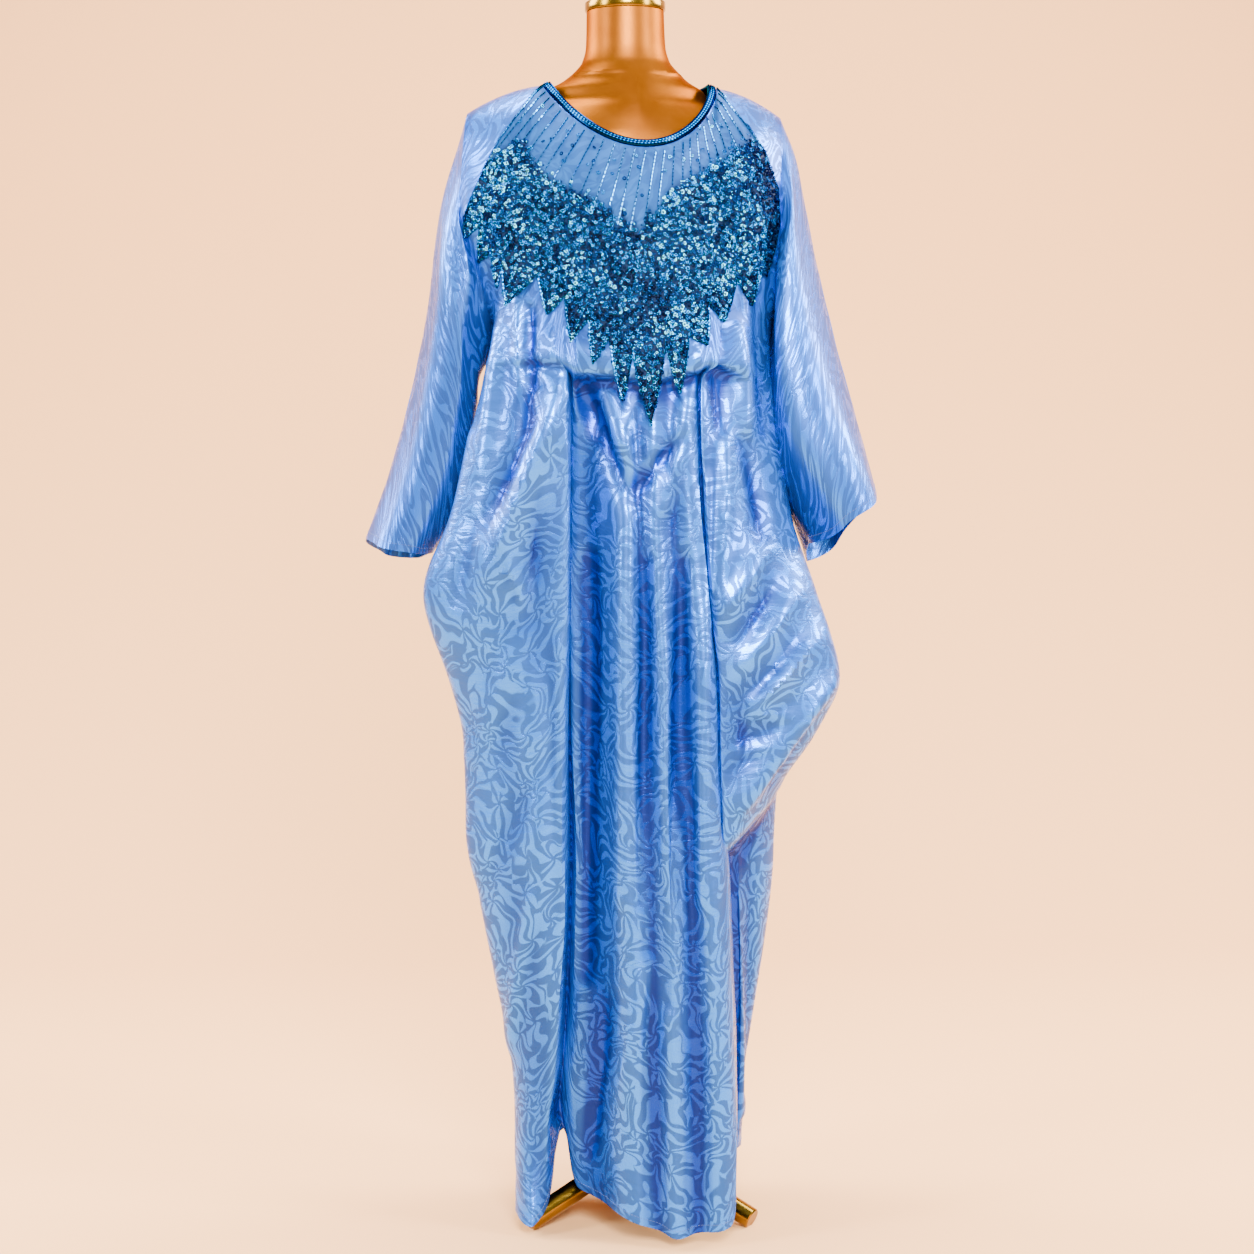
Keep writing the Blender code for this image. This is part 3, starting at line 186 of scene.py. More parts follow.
# Where a section isn't level, how far each rail stands above the height in the table
Lift = namedtuple("Lift", "section left pit_l centre_l low centre_r pit_r fold_r right back")
LIFTS = {row[0]: Lift(*row) for row in (
    ("hem",   0.000, 0.118, 0.038, 0.000, 0.008, 0.060, 0.066, 0.066, 0.078),
    ("ankle", 0.000, 0.065, 0.022, 0.000, 0.003, 0.034, 0.035, 0.035, 0.042),
    ("calf",  0.000, 0.020, 0.008, 0.000, 0.000, 0.010, 0.010, 0.010, 0.012),
    ("knee",  0.000, 0.000, 0.000, 0.000, -0.004, -0.006, -0.010, 0.020, 0.000),
    ("under", 0.000, 0.000, 0.000, 0.000, -0.008, -0.014, -0.030, 0.042, 0.000),
    ("swag",  0.000, 0.000, 0.000, 0.000, -0.012, -0.020, -0.036, 0.034, 0.000),
    ("thigh", 0.000, 0.000, 0.000, 0.000, -0.006, -0.012, -0.020, 0.006, 0.000),
    ("tuck",  0.024, 0.014, 0.009, 0.000, 0.012, 0.014, 0.014, 0.004, 0.000),
    ("puff",  0.024, 0.014, 0.009, 0.000, 0.012, 0.014, 0.014, 0.004, 0.000),
)}
LEVEL = Lift("level", 0, 0, 0, 0, 0, 0, 0, 0, 0)
LEFT_TAIL = {"hem": 0.028, "ankle": 0.012}   # the rounded corner of the left tail rises by this much
TAIL_SIDE = 0.3          # of that rise, at the tail's outer edge

# The soft ribs and dips of the centre panel: place across it, and share of the wave's height
Rib = namedtuple("Rib", "rail across height")
RIBS = (Rib("dip_1", 0.13, -1.15), Rib("rib_1", 0.40, 0.55), Rib("dip_2", 0.52, -0.40),
        Rib("rib_2", 0.64, 0.60), Rib("dip_3", 0.78, -0.75), Rib("rib_3", 0.91, 0.60))

# Creases of the front seen from the camera's side: a ridge from one point to another
Crease = namedtuple("Crease", "from_x from_z to_x to_z height width")
CREASES = [Crease(*row) for row in (
    (-0.085, 1.035, -0.160, 0.840, 0.013, 0.024),    # long diagonal of the left lobe
    (-0.174, 0.868, -0.138, 0.790, 0.010, 0.014),    # where that diagonal folds over
    (-0.118, 1.040, -0.096, 0.985, 0.008, 0.014),    # pinch under the blouse's left corner
    (-0.128, 0.700, -0.108, 0.300, 0.010, 0.018),    # round edge beside the left pleat
    (0.127, 1.030, 0.124, 0.700, 0.007, 0.015),      # round edge beside the right pleat
    (0.166, 0.856, 0.112, 0.772, 0.009, 0.014),
    (0.205, 0.800, 0.138, 0.712, 0.010, 0.015),
    (0.226, 0.738, 0.146, 0.655, 0.011, 0.015),
    (0.232, 0.676, 0.128, 0.548, 0.014, 0.017),      # heavy edge of the swag
)]

# Soft pleats that hang down the back: place across it, reach at the hem and at the chest
Pleat = namedtuple("Pleat", "across hem chest")
PLEATS = (Pleat(0.10, 0.006, 0.001), Pleat(0.24, -0.016, -0.002), Pleat(0.37, 0.012, 0.002),
          Pleat(0.50, -0.020, -0.003), Pleat(0.63, 0.012, 0.002), Pleat(0.76, -0.016, -0.002),
          Pleat(0.90, 0.006, 0.001))

# Rows of the net: how many steps the cloth takes from each section to the next
ROW_STEPS = finer(ROWS_FINER, (2, 2, 2, 2, 2, 1, 2, 2, 2, 2, 2, 1, 1, 1, 3, 3))
CROWN_STEPS = 5 * CROWN_FINER          # from the chest to the shoulder seams and neck
NECK_SHARE = 0.62        # of the crown's columns end at the neck
CHEST_LEAVE = 1.15       # how far the front goes straight up before it turns in
BACK_LEAVE = 1.3
AT_NECK = np.array((0.0, 0.35, 0.90))       # how the crown arrives: back and up
AT_SHOULDER = np.array((0.0, 1.15, 0.15))
BACK_ROUND = 0.7         # below 1 the back is squarer than a half circle
LOWEST_ACROSS = 0.64     # where the front hem is lowest, from the left fold to the right one
CREASE_SPAN = (0.12, 0.88)   # part of a half wave that a crease's height follows
CREASE_ROUND = 0.6
FRONT_STEPS = finer(COLUMNS_FINER, (2, 3, 3, 1, 1, 1, 1, 2, 3, 2, 2, 2, 2, 1, 1, 1, 1, 1, 3, 3, 2))
BACK_STEPS = 2 * BACK_FINER
BACK_SHOULDER = 3 * BACK_FINER        # columns of the back along each shoulder seam
SLEEVE_STEPS = finer(SLEEVE_FINER, (2, 1, 1, 1, 1, 1, 1))
SLEEVE_FOLD = 0.004      # soft folds down a sleeve
SLEEVE_FOLDS = 5
SLEEVE_LEAST = 0.4       # a turned cuff is never narrower than this share of its width

# Sleeves: each section is a leaning oval. out/in are the outer and inner sides.
Cuff = namedtuple("Cuff", "out_x out_z in_x in_z front_y front_z back_y back_z yaw")
SLEEVE_LEFT = [Cuff(*row) for row in (
    (-0.2125, 1.335, -0.186, 1.062, -0.094, 1.205, 0.040, 1.200, 0),
    (-0.2350, 1.262, -0.190, 1.030, -0.092, 1.150, 0.058, 1.140, 0),
    (-0.2500, 1.168, -0.196, 0.992, -0.082, 1.085, 0.072, 1.070, 4),
    (-0.2680, 1.080, -0.203, 0.952, -0.072, 1.018, 0.082, 1.000, 6),
    (-0.2900, 1.000, -0.213, 0.915, -0.064, 0.955, 0.088, 0.935, 8),
    (-0.3130, 0.930, -0.229, 0.880, -0.058, 0.900, 0.092, 0.875, 8),
    (-0.3380, 0.866, -0.252, 0.848, -0.054, 0.850, 0.094, 0.838, 8),
)]
SLEEVE_RIGHT = [Cuff(*row) for row in (
    (0.2110, 1.335, 0.1730, 1.062, -0.062, 1.205, 0.098, 1.200, 3),
    (0.2270, 1.262, 0.1710, 1.032, -0.080, 1.150, 0.104, 1.140, 8),
    (0.2460, 1.172, 0.1710, 0.994, -0.090, 1.085, 0.108, 1.070, 10),
    (0.2650, 1.088, 0.1760, 0.957, -0.094, 1.022, 0.110, 1.005, 9),
    (0.2830, 1.016, 0.1880, 0.924, -0.094, 0.972, 0.110, 0.942, 4),
    (0.2965, 0.966, 0.2030, 0.888, -0.090, 0.930, 0.106, 0.886, -2),
    (0.3085, 0.918, 0.2200, 0.852, -0.084, 0.886, 0.100, 0.836, -8),
)]
# Each sleeve's name, the edge of the body that it is set into, its sections and its side
SLEEVES = (("left_sleeve", 0, SLEEVE_LEFT, -1), ("right_sleeve", -1, SLEEVE_RIGHT, 1))

# Bib outline seen from the front: each spike's tip, then the notch to its right
Spike = namedtuple("Spike", "tip_x tip_z notch_x notch_z")
SPIKES = [Spike(*row) for row in (
    (-0.199, 1.232, -0.178, 1.246), (-0.182, 1.202, -0.165, 1.216),
    (-0.158, 1.168, -0.152, 1.196), (-0.148, 1.148, -0.109, 1.186),
    (-0.098, 1.135, -0.076, 1.158), (-0.070, 1.103, -0.047, 1.133),
    (-0.044, 1.075, -0.024, 1.108), (-0.009, 1.030, 0.003, 1.098),
    (0.024, 1.002, 0.042, 1.108), (0.059, 1.038, 0.070, 1.108),
    (0.093, 1.096, 0.094, 1.150), (0.114, 1.124, 0.130, 1.178),
    (0.149, 1.144, 0.159, 1.186), (0.169, 1.184, 0.182, 1.205),
)]
BIB_LEFT = ((-0.196, 1.262), (-0.186, 1.285), (-0.170, 1.318), (-0.152, 1.350), (-0.132, 1.378))
BIB_RIGHT = ((0.186, 1.250), (0.184, 1.290), (0.168, 1.335), (0.148, 1.366), (0.128, 1.390))
BIB_ROWS = 34
SPIKE_ROWS = 14
BIB_ARC = (184, 356)     # where the bib starts and ends on the neck binding
BIB_CLEAR = 0.0009       # between the bib and the satin under it
BIB_INSET = 0.0015       # from the neck binding to the bib
SPIKE_START = 0.86       # the spikes begin this far out from the neck

# Side edges of the back piece above the underarm, where the armhole parts it from the front
Edge = namedtuple("Edge", "left_x left_y right_x right_y")
BACK_EDGE = {"bust": Edge(-0.174, 0.030, 0.178, 0.092), "chest": Edge(-0.202, 0.022, 0.188, 0.088)}

# The padded form under the dress, in its own frame
Torso = namedtuple("Torso", "z half_x front back")
TORSO = [Torso(*row) for row in (
    (0.800, 0.160, 0.104, 0.104), (0.850, 0.158, 0.105, 0.103), (0.910, 0.146, 0.100, 0.098),
    (0.980, 0.132, 0.095, 0.088), (1.050, 0.138, 0.106, 0.090), (1.110, 0.148, 0.124, 0.094),
    (1.160, 0.156, 0.122, 0.096), (1.230, 0.168, 0.110, 0.095), (1.300, 0.178, 0.098, 0.092),
    (1.345, 0.180, 0.092, 0.075), (1.372, 0.166, 0.086, 0.062), (1.390, 0.136, 0.080, 0.052),
    (1.402, 0.107, 0.075, 0.047), (1.4172, 0.0986, 0.068, 0.050), (1.428, 0.080, 0.063, 0.050),
    (1.440, 0.065, 0.057, 0.050), (1.453, 0.0545, 0.052, 0.050), (1.472, 0.0495, 0.049, 0.049),
    (1.5142, 0.0480, 0.048, 0.048),
)]
SLOPE_Z = (1.36, 1.435)
SHOULDER_SQUARE = 1.35   # above 1 the rings between these heights are nearer a diamond

FRONT_RAILS = ("seam_l", "edge_l", "lobe_l", "fold_l", "tuck_l", "pit_l", "turn_l", "centre_l",
               "dip_1", "rib_1", "dip_2", "rib_2", "dip_3", "rib_3", "centre_r", "turn_r",
               "pit_r", "tuck_r", "fold_r", "lobe_r", "edge_r", "seam_r")

# Finer folds of the front than the solids hold: a height below zero is a dip, a shape of 2 is round
# and one nearer 1 is sharp
Fold = namedtuple("Fold", "from_x from_z to_x to_z height width shape")
FOLDS = [Fold(*row) for row in (
    (-0.134, 1.153, -0.130, 1.051, 0.0040, 0.009, 2.0),      # beside the bib, left
    (-0.119, 1.143, -0.124, 1.067, -0.0050, 0.008, 2.0),
    (-0.170, 1.153, -0.193, 1.009, -0.0040, 0.010, 2.0),     # by the left armhole
    (-0.158, 1.117, -0.185, 0.949, 0.0040, 0.010, 2.0),
    (-0.101, 1.105, -0.035, 1.086, 0.0030, 0.012, 2.0),      # rolls of the blouse
    (-0.021, 1.091, 0.073, 1.099, 0.0030, 0.012, 2.0),
    (-0.110, 1.064, -0.075, 1.043, 0.0050, 0.007, 1.5),      # pinch under the blouse
    (-0.115, 1.074, -0.133, 0.997, -0.0050, 0.008, 1.5),
    (-0.066, 1.051, -0.037, 0.997, -0.0030, 0.010, 2.0),     # top of the centre panel
    (0.012, 1.051, -0.015, 0.973, 0.0030, 0.012, 2.0),
    (-0.052, 1.040, -0.003, 0.913, -0.0045, 0.010, 2.0),     # slanting folds under the blouse
    (0.061, 0.985, 0.008, 0.930, -0.0045, 0.009, 2.0),
    (-0.030, 1.035, 0.002, 0.950, 0.0035, 0.010, 2.0),
    (0.068, 1.030, 0.040, 0.905, 0.0040, 0.010, 2.0),
    (-0.088, 1.030, -0.160, 0.860, 0.0050, 0.010, 2.0),      # left lobe's slanting fold and dart
    (-0.115, 1.020, -0.180, 0.880, -0.0045, 0.009, 2.0),
    (-0.173, 0.870, -0.141, 0.790, -0.0045, 0.005, 1.5),
    (0.085, 1.083, 0.104, 1.074, 0.0060, 0.006, 2.0),        # rolled tuck at the right
    (0.132, 1.117, 0.142, 0.997, 0.0060, 0.009, 2.0),        # right lobe
    (0.104, 1.111, 0.110, 0.997, -0.0050, 0.010, 2.0),
    (0.156, 1.155, 0.165, 0.997, -0.0040, 0.008, 2.0),
    (0.115, 0.985, 0.108, 0.792, 0.0040, 0.008, 2.0),
    (0.138, 0.985, 0.161, 0.864, -0.0040, 0.010, 2.0),
    (-0.115, 0.937, -0.122, 0.768, -0.0030, 0.007, 1.5),     # left lobe
    (-0.153, 0.840, -0.136, 0.794, 0.0040, 0.006, 1.5),
    (-0.195, 0.889, -0.215, 0.792, -0.0040, 0.012, 2.0),
    (-0.089, 0.743, -0.093, 0.301, 0.0030, 0.005, 2.0),
    (-0.137, 0.743, -0.200, 0.597, 0.0020, 0.014, 2.0),
    (-0.115, 0.597, -0.191, 0.425, -0.0020, 0.014, 2.0),
    (-0.130, 0.425, -0.164, 0.226, 0.0030, 0.009, 2.0),
    (-0.051, 0.840, -0.064, 0.326, -0.0050, 0.011, 2.0),     # centre panel
    (-0.004, 0.985, -0.018, 0.425, 0.0040, 0.010, 2.0),
    (0.018, 0.840, 0.004, 0.425, -0.0030, 0.008, 2.0),
    (0.062, 0.840, 0.037, 0.301, -0.0040, 0.009, 2.0),
    (0.088, 0.937, 0.080, 0.425, 0.0040, 0.008, 2.0),
    (0.010, 0.350, -0.021, 0.176, 0.0030, 0.010, 2.0),
    (-0.034, 0.301, -0.061, 0.101, -0.0030, 0.010, 2.0),
    (0.165, 0.855, 0.108, 0.774, 0.0040, 0.007, 1.3),        # crossing creases of the swag
    (0.176, 0.804, 0.130, 0.743, -0.0030, 0.007, 1.5),
    (0.197, 0.792, 0.135, 0.713, 0.0050, 0.007, 1.3),
    (0.210, 0.743, 0.150, 0.682, -0.0040, 0.008, 1.5),
    (0.222, 0.740, 0.149, 0.664, 0.0050, 0.007, 1.3),
    (0.243, 0.682, 0.177, 0.597, 0.0050, 0.009, 1.5),
    (0.177, 0.597, 0.130, 0.533, 0.0050, 0.009, 1.5),
    (0.236, 0.655, 0.164, 0.560, -0.0030, 0.006, 1.5),
    (0.141, 0.652, 0.189, 0.646, 0.0030, 0.005, 1.3),
    (0.131, 0.670, 0.134, 0.597, -0.0030, 0.007, 1.5),
    (0.122, 0.603, 0.171, 0.613, 0.0030, 0.006, 1.3),
    (0.126, 0.470, 0.131, 0.124, 0.0040, 0.006, 2.0),        # layer behind the swag
    (0.146, 0.445, 0.138, 0.150, -0.0030, 0.007, 2.0),
)]

# Fine crinkles all over: turns across and up the cloth for each metre, and height
Crinkle = namedtuple("Crinkle", "across up height seed")
CRINKLES = (Crinkle(26.0, 5.0, 0.0016, 1.7), Crinkle(34.0, 18.0, 0.0008, 4.1),
            Crinkle(60.0, 16.0, 0.0004, 9.3))

# The bib's open net ends and its sequins begin along this line, seen from the front
SEQUIN_TOP = ((-0.196, 1.300), (-0.137, 1.345), (-0.120, 1.345), (-0.112, 1.318), (-0.086, 1.296),
              (-0.058, 1.282), (-0.036, 1.272), (-0.026, 1.262), (-0.019, 1.264), (-0.012, 1.238),
              (-0.006, 1.270), (-0.001, 1.244), (0.004, 1.236), (0.008, 1.252), (0.012, 1.236),
              (0.018, 1.238), (0.024, 1.262), (0.032, 1.252), (0.040, 1.266), (0.050, 1.285),
              (0.075, 1.298), (0.105, 1.318), (0.130, 1.332), (0.150, 1.350), (0.186, 1.330))
SEQUIN_FADE = 0.012
LEAF_STEPS = 5
LEAF_BULGE = 0.03
BIB_SOFT = 3
BIB_SIDE = (0.155, 0.185)    # over this stretch the bib begins to follow the sleeves
BIB_GIVE = 0.006             # how far it may fall back from one row to the next
LINE_LIFT = 0.0007       # the middle of a bead above the net
LINE_COVER = 0.6         # a line of beads ends where the sequins' cover is this full
CROWDING = 160000.0      # tries for each square metre before the sequins' spacing thins them
SEQUINS = {"flatness": 0.45, "tilt": 0.55, "lift": 0.0012, "seed": 11}
SEED_BEADS = {"radius": 0.0008, "rim": 0.0006, "flatness": 0.9, "tilt": 0.2, "lift": 0.0005,
              "seed": 23}
COVER_SHIFT = 0.05       # sequins begin this share of the fade higher up, seed beads lower down
SEQUIN_SIZES = (0.72, 1.15)      # the smallest and the largest, beside the size asked for
SEQUIN_LEAN = (1.0, 1.0, 3.0)    # greatest turn about each axis, before the tilt scales it
TONE_DRIFT = 0.9         # how much the sequins' tone wanders over the bib
RIGHT_END_SHADE_DEPTH = 0.4        # and how much painted shade lowers it at the bib's right end, beside the right sleeve
LONG_PALER = 0.55        # how much higher a long bead's tone is than a short one's
TONE_RANGE = 0.45        # and how much it differs between beads of one length
EDGE_INSET = 0.3         # of a row, from the bib's edge to the middle of its beads
SEQUIN_EDGE = (0.02, 0.35, 0.75)     # what foil and glass mirror at a low angle
GLASS_EDGE = (0.05, 0.45, 0.85)
GOLD_EDGE = (0.90, 0.50, 0.20)
SEQUIN_TONES = ((0.00, (0.001, 0.002, 0.012)), (0.20, (0.001, 0.008, 0.042)), (0.34, (0.001, 0.028, 0.130)),
                (0.50, (0.001, 0.072, 0.260)), (0.68, (0.001, 0.140, 0.410)), (0.86, (0.004, 0.280, 0.680)),
                (0.95, (0.090, 0.640, 1.000)))
PALE_BEAD = (0.05, 0.30, 0.72)
DARK_BEAD = (0.001, 0.014, 0.060)
TEAL_BEAD = (0.004, 0.085, 0.230)
CORD = (0.005, 0.075, 0.240)
CORD_DARK = (0.002, 0.028, 0.110)
HEM_THREAD = (0.035, 0.090, 0.330)
STITCH_RADIUS = 0.00030
STITCH_SHARES = (0.62, 0.05)     # thread that shows in a stitch, and what is left between two
STITCH_PROUD = 0.6       # of its radius, from the satin to a stitch's middle
HEM_DEPTH = 0.009

# Neck band: share across it, and rise of its cords
BAND_PROFILE = ((0.0, -0.0010), (0.02, 0.0006), (0.10, 0.0014), (0.18, 0.0006), (0.22, -0.0004),
                (0.78, -0.0004), (0.82, 0.0006), (0.90, 0.0014), (0.98, 0.0006), (1.0, -0.0010))
BAND_BEAD_ROWS = (0.37, 0.63)
BAND_BEAD_LIFT = 0.0006
BAND_UV = (0.002, 0.004)     # the band's cloth coordinates: from point to point across and along

# Runs of beads: length and radius of a long one and of a short one, in turn
FAN_BEADS = {"long": (0.0036, 0.00085), "short": (0.0014, 0.0008), "sides": 6, "seed": 5}
EDGE_BEADS = {"spacing": 0.0024, "long": (0.0019, 0.0013), "short": (0.0016, 0.0011), "sides": 6,
              "seed": 7}
BAND_BEADS = {"spacing": 0.0022, "long": (0.0018, 0.0013), "short": (0.0014, 0.0011), "sides": 6,
              "seed": 9}
DOUBLE_ROW = ((0, 3), (-1, -4))      # columns of the bib that its double rows of beads lie between

# How the net is eased and where it is joined
PLEAT_DEPTH = 0.011      # how far behind the centre's edge a deep pleat is followed
RIB_MORE = 1.6           # the centre's ribs stand out this much more than in the solids
FOLD_MORE = 1.8          # the finer folds are as high as their table says, times this
FOLD_REACH = 40          # passes that level the net, to tell its ridges from its valleys for the painted shade and highlight
RIDGE_FULL_HIGHLIGHT = 0.0045       # height over the levelled net at which a ridge takes its full painted highlight
EDGE_ROWS = 5            # rows and columns over which folds fade out towards a seam
SOFTEN = 0.5
SOFT_PASSES = 4
EDGE_ANGLE = math.radians(42)
FRONT_MIDDLE = sum(FRONT_STEPS) // 2
BACK_PATTERN = (1.7, 0.4)    # where the back lies on the roll of satin
SLEEVE_PATTERN = (3.1, 0.9)
SLEEVE_CRINKLE = 1.0
SLEEVE_WEAVE = (0.55, 1.0)   # scale of the weave across and up a sleeve: below 1 its scrolls are wider
RIGHT_END_SHADE_SPAN = (0.176, 0.192)   # painted shade: over this stretch the sequins darken to navy at the bib's right end, in the shadow beside the right sleeve

# The satin's scrolls: fans that curl out of roots scattered over the cloth
SCROLL_ROOTS = 27.0      # roots in each metre
SCROLL_ASIDE = 0.0125    # how far a fan's middle may lie from its root
SCROLL_ARMS = 6.0
SCROLL_CURL = 240.0      # radians that a fan turns in a metre
SCROLL_DRIFT = {"scale": 12.5, "reach": 0.092}
SCROLL_RIPPLE = {"scale": 43.0, "reach": 0.0195}
SCROLL_FULLNESS = {"scale": 60.0, "range": 2.8, "least": -1.3}
SCROLL_MIDDLE = (0.0007, 0.004)      # from its root, where a fan begins to open
SCROLL_EDGE = (-0.15, 0.30)          # softness of a scroll's outline

# The satin's folds carry painted light: a painted shade in their valleys and a painted highlight on their
# ridges
VALLEY_SHADE_TINT = (0.05, 0.26, 0.55)  # painted shade: the satin's colour deep in a fold, beside that of the flat cloth
RIDGE_HIGHLIGHT_TINT = (2.0, 1.7, 1.4)      # painted highlight: the satin's colour on top of a fold
VALLEY_SHADE_SHARES = (0.02, 0.50)     # fold shares over which the valleys' painted shade ends
RIDGE_HIGHLIGHT_SHARES = (0.52, 1.00)      # and the ridges' painted highlight begins

# Roughness of each finish, from the low part of its pattern to the high part
ROUGH = {"satin": (0.42, 0.25), "net": (0.62, 0.42), "sequin": (0.12, 0.34), "bead": (0.10, 0.30),
         "gold": (0.36, 0.48), "brass": (0.12, 0.30)}
# Turns of each finish's fine grain and broad stains in a metre
GRAIN = {"sequin": 700.0, "bead": 500.0, "gold": 420.0, "thread": 1500.0, "paper": 300.0}
STAIN = {"satin": 5.0, "net": 30.0, "sequin": 22.0, "gold": 14.0, "brass": 25.0}
NET_PALER = {"patches": 0.55, "scrolls": 0.45}    # how much paler each turns the net
SATIN_CRINKLE = (26.0, 95.0, 0.0)    # marks across and up the cloth for each metre
SATIN_BRUSHED = (70.0, 520.0, 0.0)
SATIN_BUMPS = {"crinkle": (0.28, 0.003), "brushed": (0.30, 0.0005), "motif": (0.25, 0.0003),
               "weave": (0.08, 0.0001)}

FORM_FINER = 5
FORM_SIDES = 96
TURN_SIDES = 48
DRAWN_MARKS = (4.0, 4.0, 60.0)       # stretch of the fine marks along a drawn tube
TURNED_MARKS = (4.0, 4.0, 900.0)     # and round a turned piece
CAP_PROFILE = ((0.0465, 1.5145), (0.0494, 1.5150), (0.0500, 1.5160), (0.0500, 1.5248), (0.0494, 1.5260),
               (0.0480, 1.5266), (0.0362, 1.5267), (0.0352, 1.5272), (0.0350, 1.5282), (0.0350, 1.5400),
               (0.0345, 1.5422), (0.0330, 1.5440), (0.0308, 1.5448), (0.0250, 1.5450))

BACKDROP = {"front": 6.0, "bend": 1.6, "wall": 3.2, "height": 6.0, "half_width": 9.0}
BACKDROP_STEPS = 24
CAMERA = {"focal_px": 2540.0, "frame_px": 1254.0, "distance": 3.2, "left": 0.0074, "height": 0.985,
          "tilt": math.radians(4.21), "roll": math.radians(-0.725)}
Light = namedtuple("Light", "name x y z at_x at_z width height power red green blue")
LIGHTS = (Light("soft_front", 0.35, -3.3, 2.3, 0.0, 0.85, 1.1, 1.5, 430.0, 1.0, 0.98, 0.96),
          Light("soft_left", -2.7, -1.5, 2.0, 0.0, 0.9, 0.7, 2.2, 150.0, 1.0, 0.98, 0.96),
          Light("soft_right", 2.7, -1.3, 1.9, 0.0, 0.9, 0.6, 2.2, 170.0, 1.0, 0.98, 0.96),
          Light("soft_top", 0.0, 0.4, 3.6, 0.0, 1.0, 2.4, 1.4, 260.0, 1.0, 0.98, 0.96),
          Light("paper_left", -3.0, 0.9, 2.4, -0.8, 1.0, 1.5, 1.5, 280.0, 1.0, 0.96, 0.92),
          Light("paper_right", 3.0, 0.9, 2.4, 0.8, 1.0, 1.5, 1.5, 280.0, 1.0, 0.96, 0.92))
WORLD_COLOUR = (1.0, 0.95, 0.90, 1.0)
WORLD_STRENGTH = 0.45
PAPER_FIBRE = 0.985      # of the paper's colour, in its fibres
SENSOR = 36.0            # millimetres across


def mix(first, last, share):
    return first + (last - first) * share


def slopes(places, values):
    """Slopes of a cubic through the values that never overshoots them."""
    steps = np.diff(places)[:, None]
    rises = np.diff(values, axis=0) / steps
    result = np.empty_like(values)
    result[0], result[-1] = rises[0], rises[-1]
    before, after = rises[:-1], rises[1:]
    weigh_a, weigh_b = 2 * steps[1:] + steps[:-1], steps[1:] + 2 * steps[:-1]
    same = before * after > 0
    below = np.where(same, weigh_a / np.where(same, before, 1) + weigh_b / np.where(same, after, 1), 1)
    result[1:-1] = np.where(same, (weigh_a + weigh_b) / below, 0.0)
    return result


def cubic(t, start, leave, end, arrive, width=1.0):
    """A point of the curve that leaves its start and arrives at its end with the given slopes."""
    return ((1 + 2 * t) * (1 - t) ** 2 * start + t * (1 - t) ** 2 * width * leave
            + t * t * (3 - 2 * t) * end - t * t * (1 - t) * width * arrive)


def smooth(places, values, steps):
    """Points through the values, each gap between two places cut into its number of steps."""
    places, values = np.asarray(places, float), np.asarray(values, float)
    tilt = slopes(places, values)
    rows = []
    for gap, count in enumerate(steps):
        width = places[gap + 1] - places[gap]
        rows += [cubic(part / count, values[gap], tilt[gap], values[gap + 1], tilt[gap + 1], width)
                 for part in range(count)]
    rows.append(values[-1])
    return np.array(rows)


def turned(point):
    """A point of the form's own frame, in the dress's frame."""
    x, y, z = point
    return np.array((x * math.cos(FORM_TURN) - y * math.sin(FORM_TURN),
                     x * math.sin(FORM_TURN) + y * math.cos(FORM_TURN), z))


def neck_point(angle, out=0.0):
    """A point of the neck opening. Angle 180 is the left corner, 270 the front, 0 the right."""
    side, depth = math.cos(math.radians(angle)), math.sin(math.radians(angle))
    share = abs(depth)
    x = (NECK_HALF_WIDTH + NECK_SPREAD["side"] * out) * side
    z = NECK_CORNER_Z - BAND_SLOPE * out
    if depth < 0:
        wider = NECK_SPREAD["front"] * out
        y = NECK_MIDDLE_Y + (NECK_FRONT["reach"] - wider) * share ** NECK_ROUND["reach"]
        z -= (NECK_FRONT["drop"] + wider) * share ** NECK_ROUND["drop"]
    else:
        y = NECK_MIDDLE_Y + (NECK_BACK["reach"] + NECK_SPREAD["back"] * out) * share
        z -= NECK_BACK["drop"] * share
    return turned((x, y, z))


def neck_outward(angle):
    """The direction that the neck binding faces."""
    across = neck_point(angle, BAND_WIDTH) - neck_point(angle)
    out = np.cross(across, neck_point(angle + 1) - neck_point(angle - 1))
    out /= np.linalg.norm(out)
    return out if out @ (neck_point(angle) - CHEST_MIDDLE) > 0 else -out


def neck_angles():
    """The angles of the cloth's own columns round the neck, so that the binding matches them."""
    ahead = sum(FRONT_STEPS) - sum(FRONT_STEPS[:3]) - sum(FRONT_STEPS[-3:])
    behind = BACK_STEPS * (len(PLEATS) + 1) - 2 * BACK_SHOULDER
    return ([180 + 180 * i / ahead for i in range(ahead)]
            + [360 + 180 * i / behind for i in range(behind)])


def shoulder_point(side, share):
    """A point of the shoulder seam, share 0 at the tip and 1 at the neck."""
    tip = turned((side * SHOULDER_TIP[0], SHOULDER_TIP[1], SHOULDER_TIP[2]))
    corner = neck_point(0 if side > 0 else 180, BAND_WIDTH)
    point = mix(tip, corner, share)
    point[2] += SHOULDER_CROWN * 4 * share * (1 - share)
    return point


def lift_of(section):
    return LIFTS.get(section, LEVEL)


